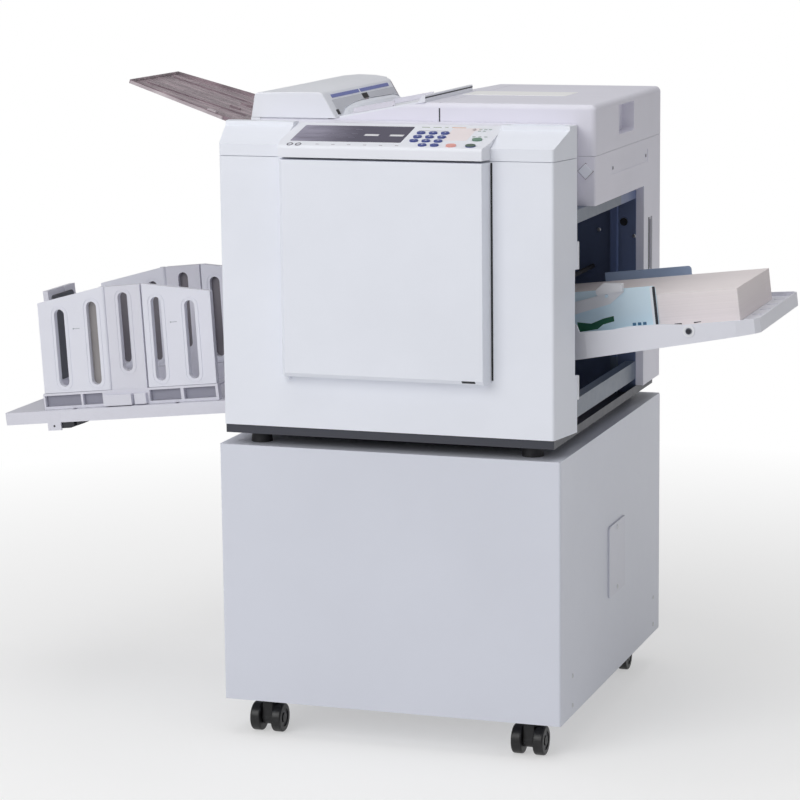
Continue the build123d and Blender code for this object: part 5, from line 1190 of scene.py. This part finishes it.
# End plate: a foam pad in a pale frame, on the face that stops the sheets
endPad = {"outline": (-46.0, 46.0, 40.0, 195.0, 8.0), "heights": (0.0, 2.2, 0.8), "plateX": -425.5, "plateThick": 5.0}
endFace = spot(deliveryPlane, endPad["plateX"] + endPad["plateThick"], 0, 0) * 1000
endPlane = {"origin": endFace, "u": Vector((0, 1, 0)), "v": deliveryPlane["n"], "n": deliveryPlane["u"]}
platePiece("endPlateFoam", endPlane, roundedBox(*endPad["outline"]), endPad["heights"], "padFoam", "end_plate")
print("stage: delivery table")

# Rear frame: the dark holes beside its screws
frameHoles = {"y": 208.5, "spots": ((264, 842, 7.0), (247, 741, 6.0), (226, 865, 3.5))}
framePlane = facing((0, frameHoles["y"], 0), (1, 0, 0), (0, 0, 1))
bm = bmesh.new()
for x, z, radius in frameHoles["spots"]:
    plate(bm, framePlane, oval(x, z, 2 * radius, 2 * radius, 24), -0.1, 0.15)
finishPiece("rearFrameHoles", bm, "holeDark", "chassis")
print("stage: inside of the feed bay")

# Floor: pale, shows as plain white with the object's soft shadow on it
floorPlan = {"half": 9.0, "colour": (250, 250, 250), "near": 0.45, "from": 0.7, "to": 2.4}
floorMesh = bpy.data.meshes.new("studioFloor")
floorHalf = floorPlan["half"]
floorMesh.from_pydata([(-floorHalf, -floorHalf, 0), (floorHalf, -floorHalf, 0), (floorHalf, floorHalf, 0),
                       (-floorHalf, floorHalf, 0)], [], [(0, 1, 2, 3)])
studioFloor = linked("studioFloor", floorMesh)
floorMaterial, floorTree, floorShader, floorPlace = startMaterial("floorPaper")
floorShader.inputs["Base Color"].default_value = linear(floorPlan["colour"])
floorShader.inputs["Roughness"].default_value = 0.9
# Away from the object the floor turns plain white for the camera, and the shadow stays close by
floorRay = floorTree.nodes.new("ShaderNodeLightPath")
floorReach = floorTree.nodes.new("ShaderNodeVectorMath")
floorReach.operation = "LENGTH"
floorTree.links.new(floorPlace, floorReach.inputs[0])
floorFade = floorTree.nodes.new("ShaderNodeMapRange")
floorFade.inputs["From Min"].default_value = floorPlan["from"]
floorFade.inputs["From Max"].default_value = floorPlan["to"]
floorFade.inputs["To Min"].default_value = floorPlan["near"]
floorFade.inputs["To Max"].default_value = 1.0
floorTree.links.new(floorReach.outputs["Value"], floorFade.inputs["Value"])
floorSeen = combine(floorTree, "MAXIMUM", floorRay.outputs["Is Camera Ray"], floorRay.outputs["Is Glossy Ray"])
floorShare = combine(floorTree, "MULTIPLY", floorFade.outputs["Result"], floorSeen)
floorGlow = floorTree.nodes.new("ShaderNodeEmission")
floorGlow.inputs["Color"].default_value = (1, 1, 1, 1)
floorMix = floorTree.nodes.new("ShaderNodeMixShader")
floorTree.links.new(floorShare, floorMix.inputs["Fac"])
floorTree.links.new(floorShader.outputs["BSDF"], floorMix.inputs[1])
floorTree.links.new(floorGlow.outputs[0], floorMix.inputs[2])
floorOut = next(n for n in floorTree.nodes if n.type == "OUTPUT_MATERIAL")
floorTree.links.new(floorMix.outputs[0], floorOut.inputs["Surface"])
floorMesh.materials.append(floorMaterial)
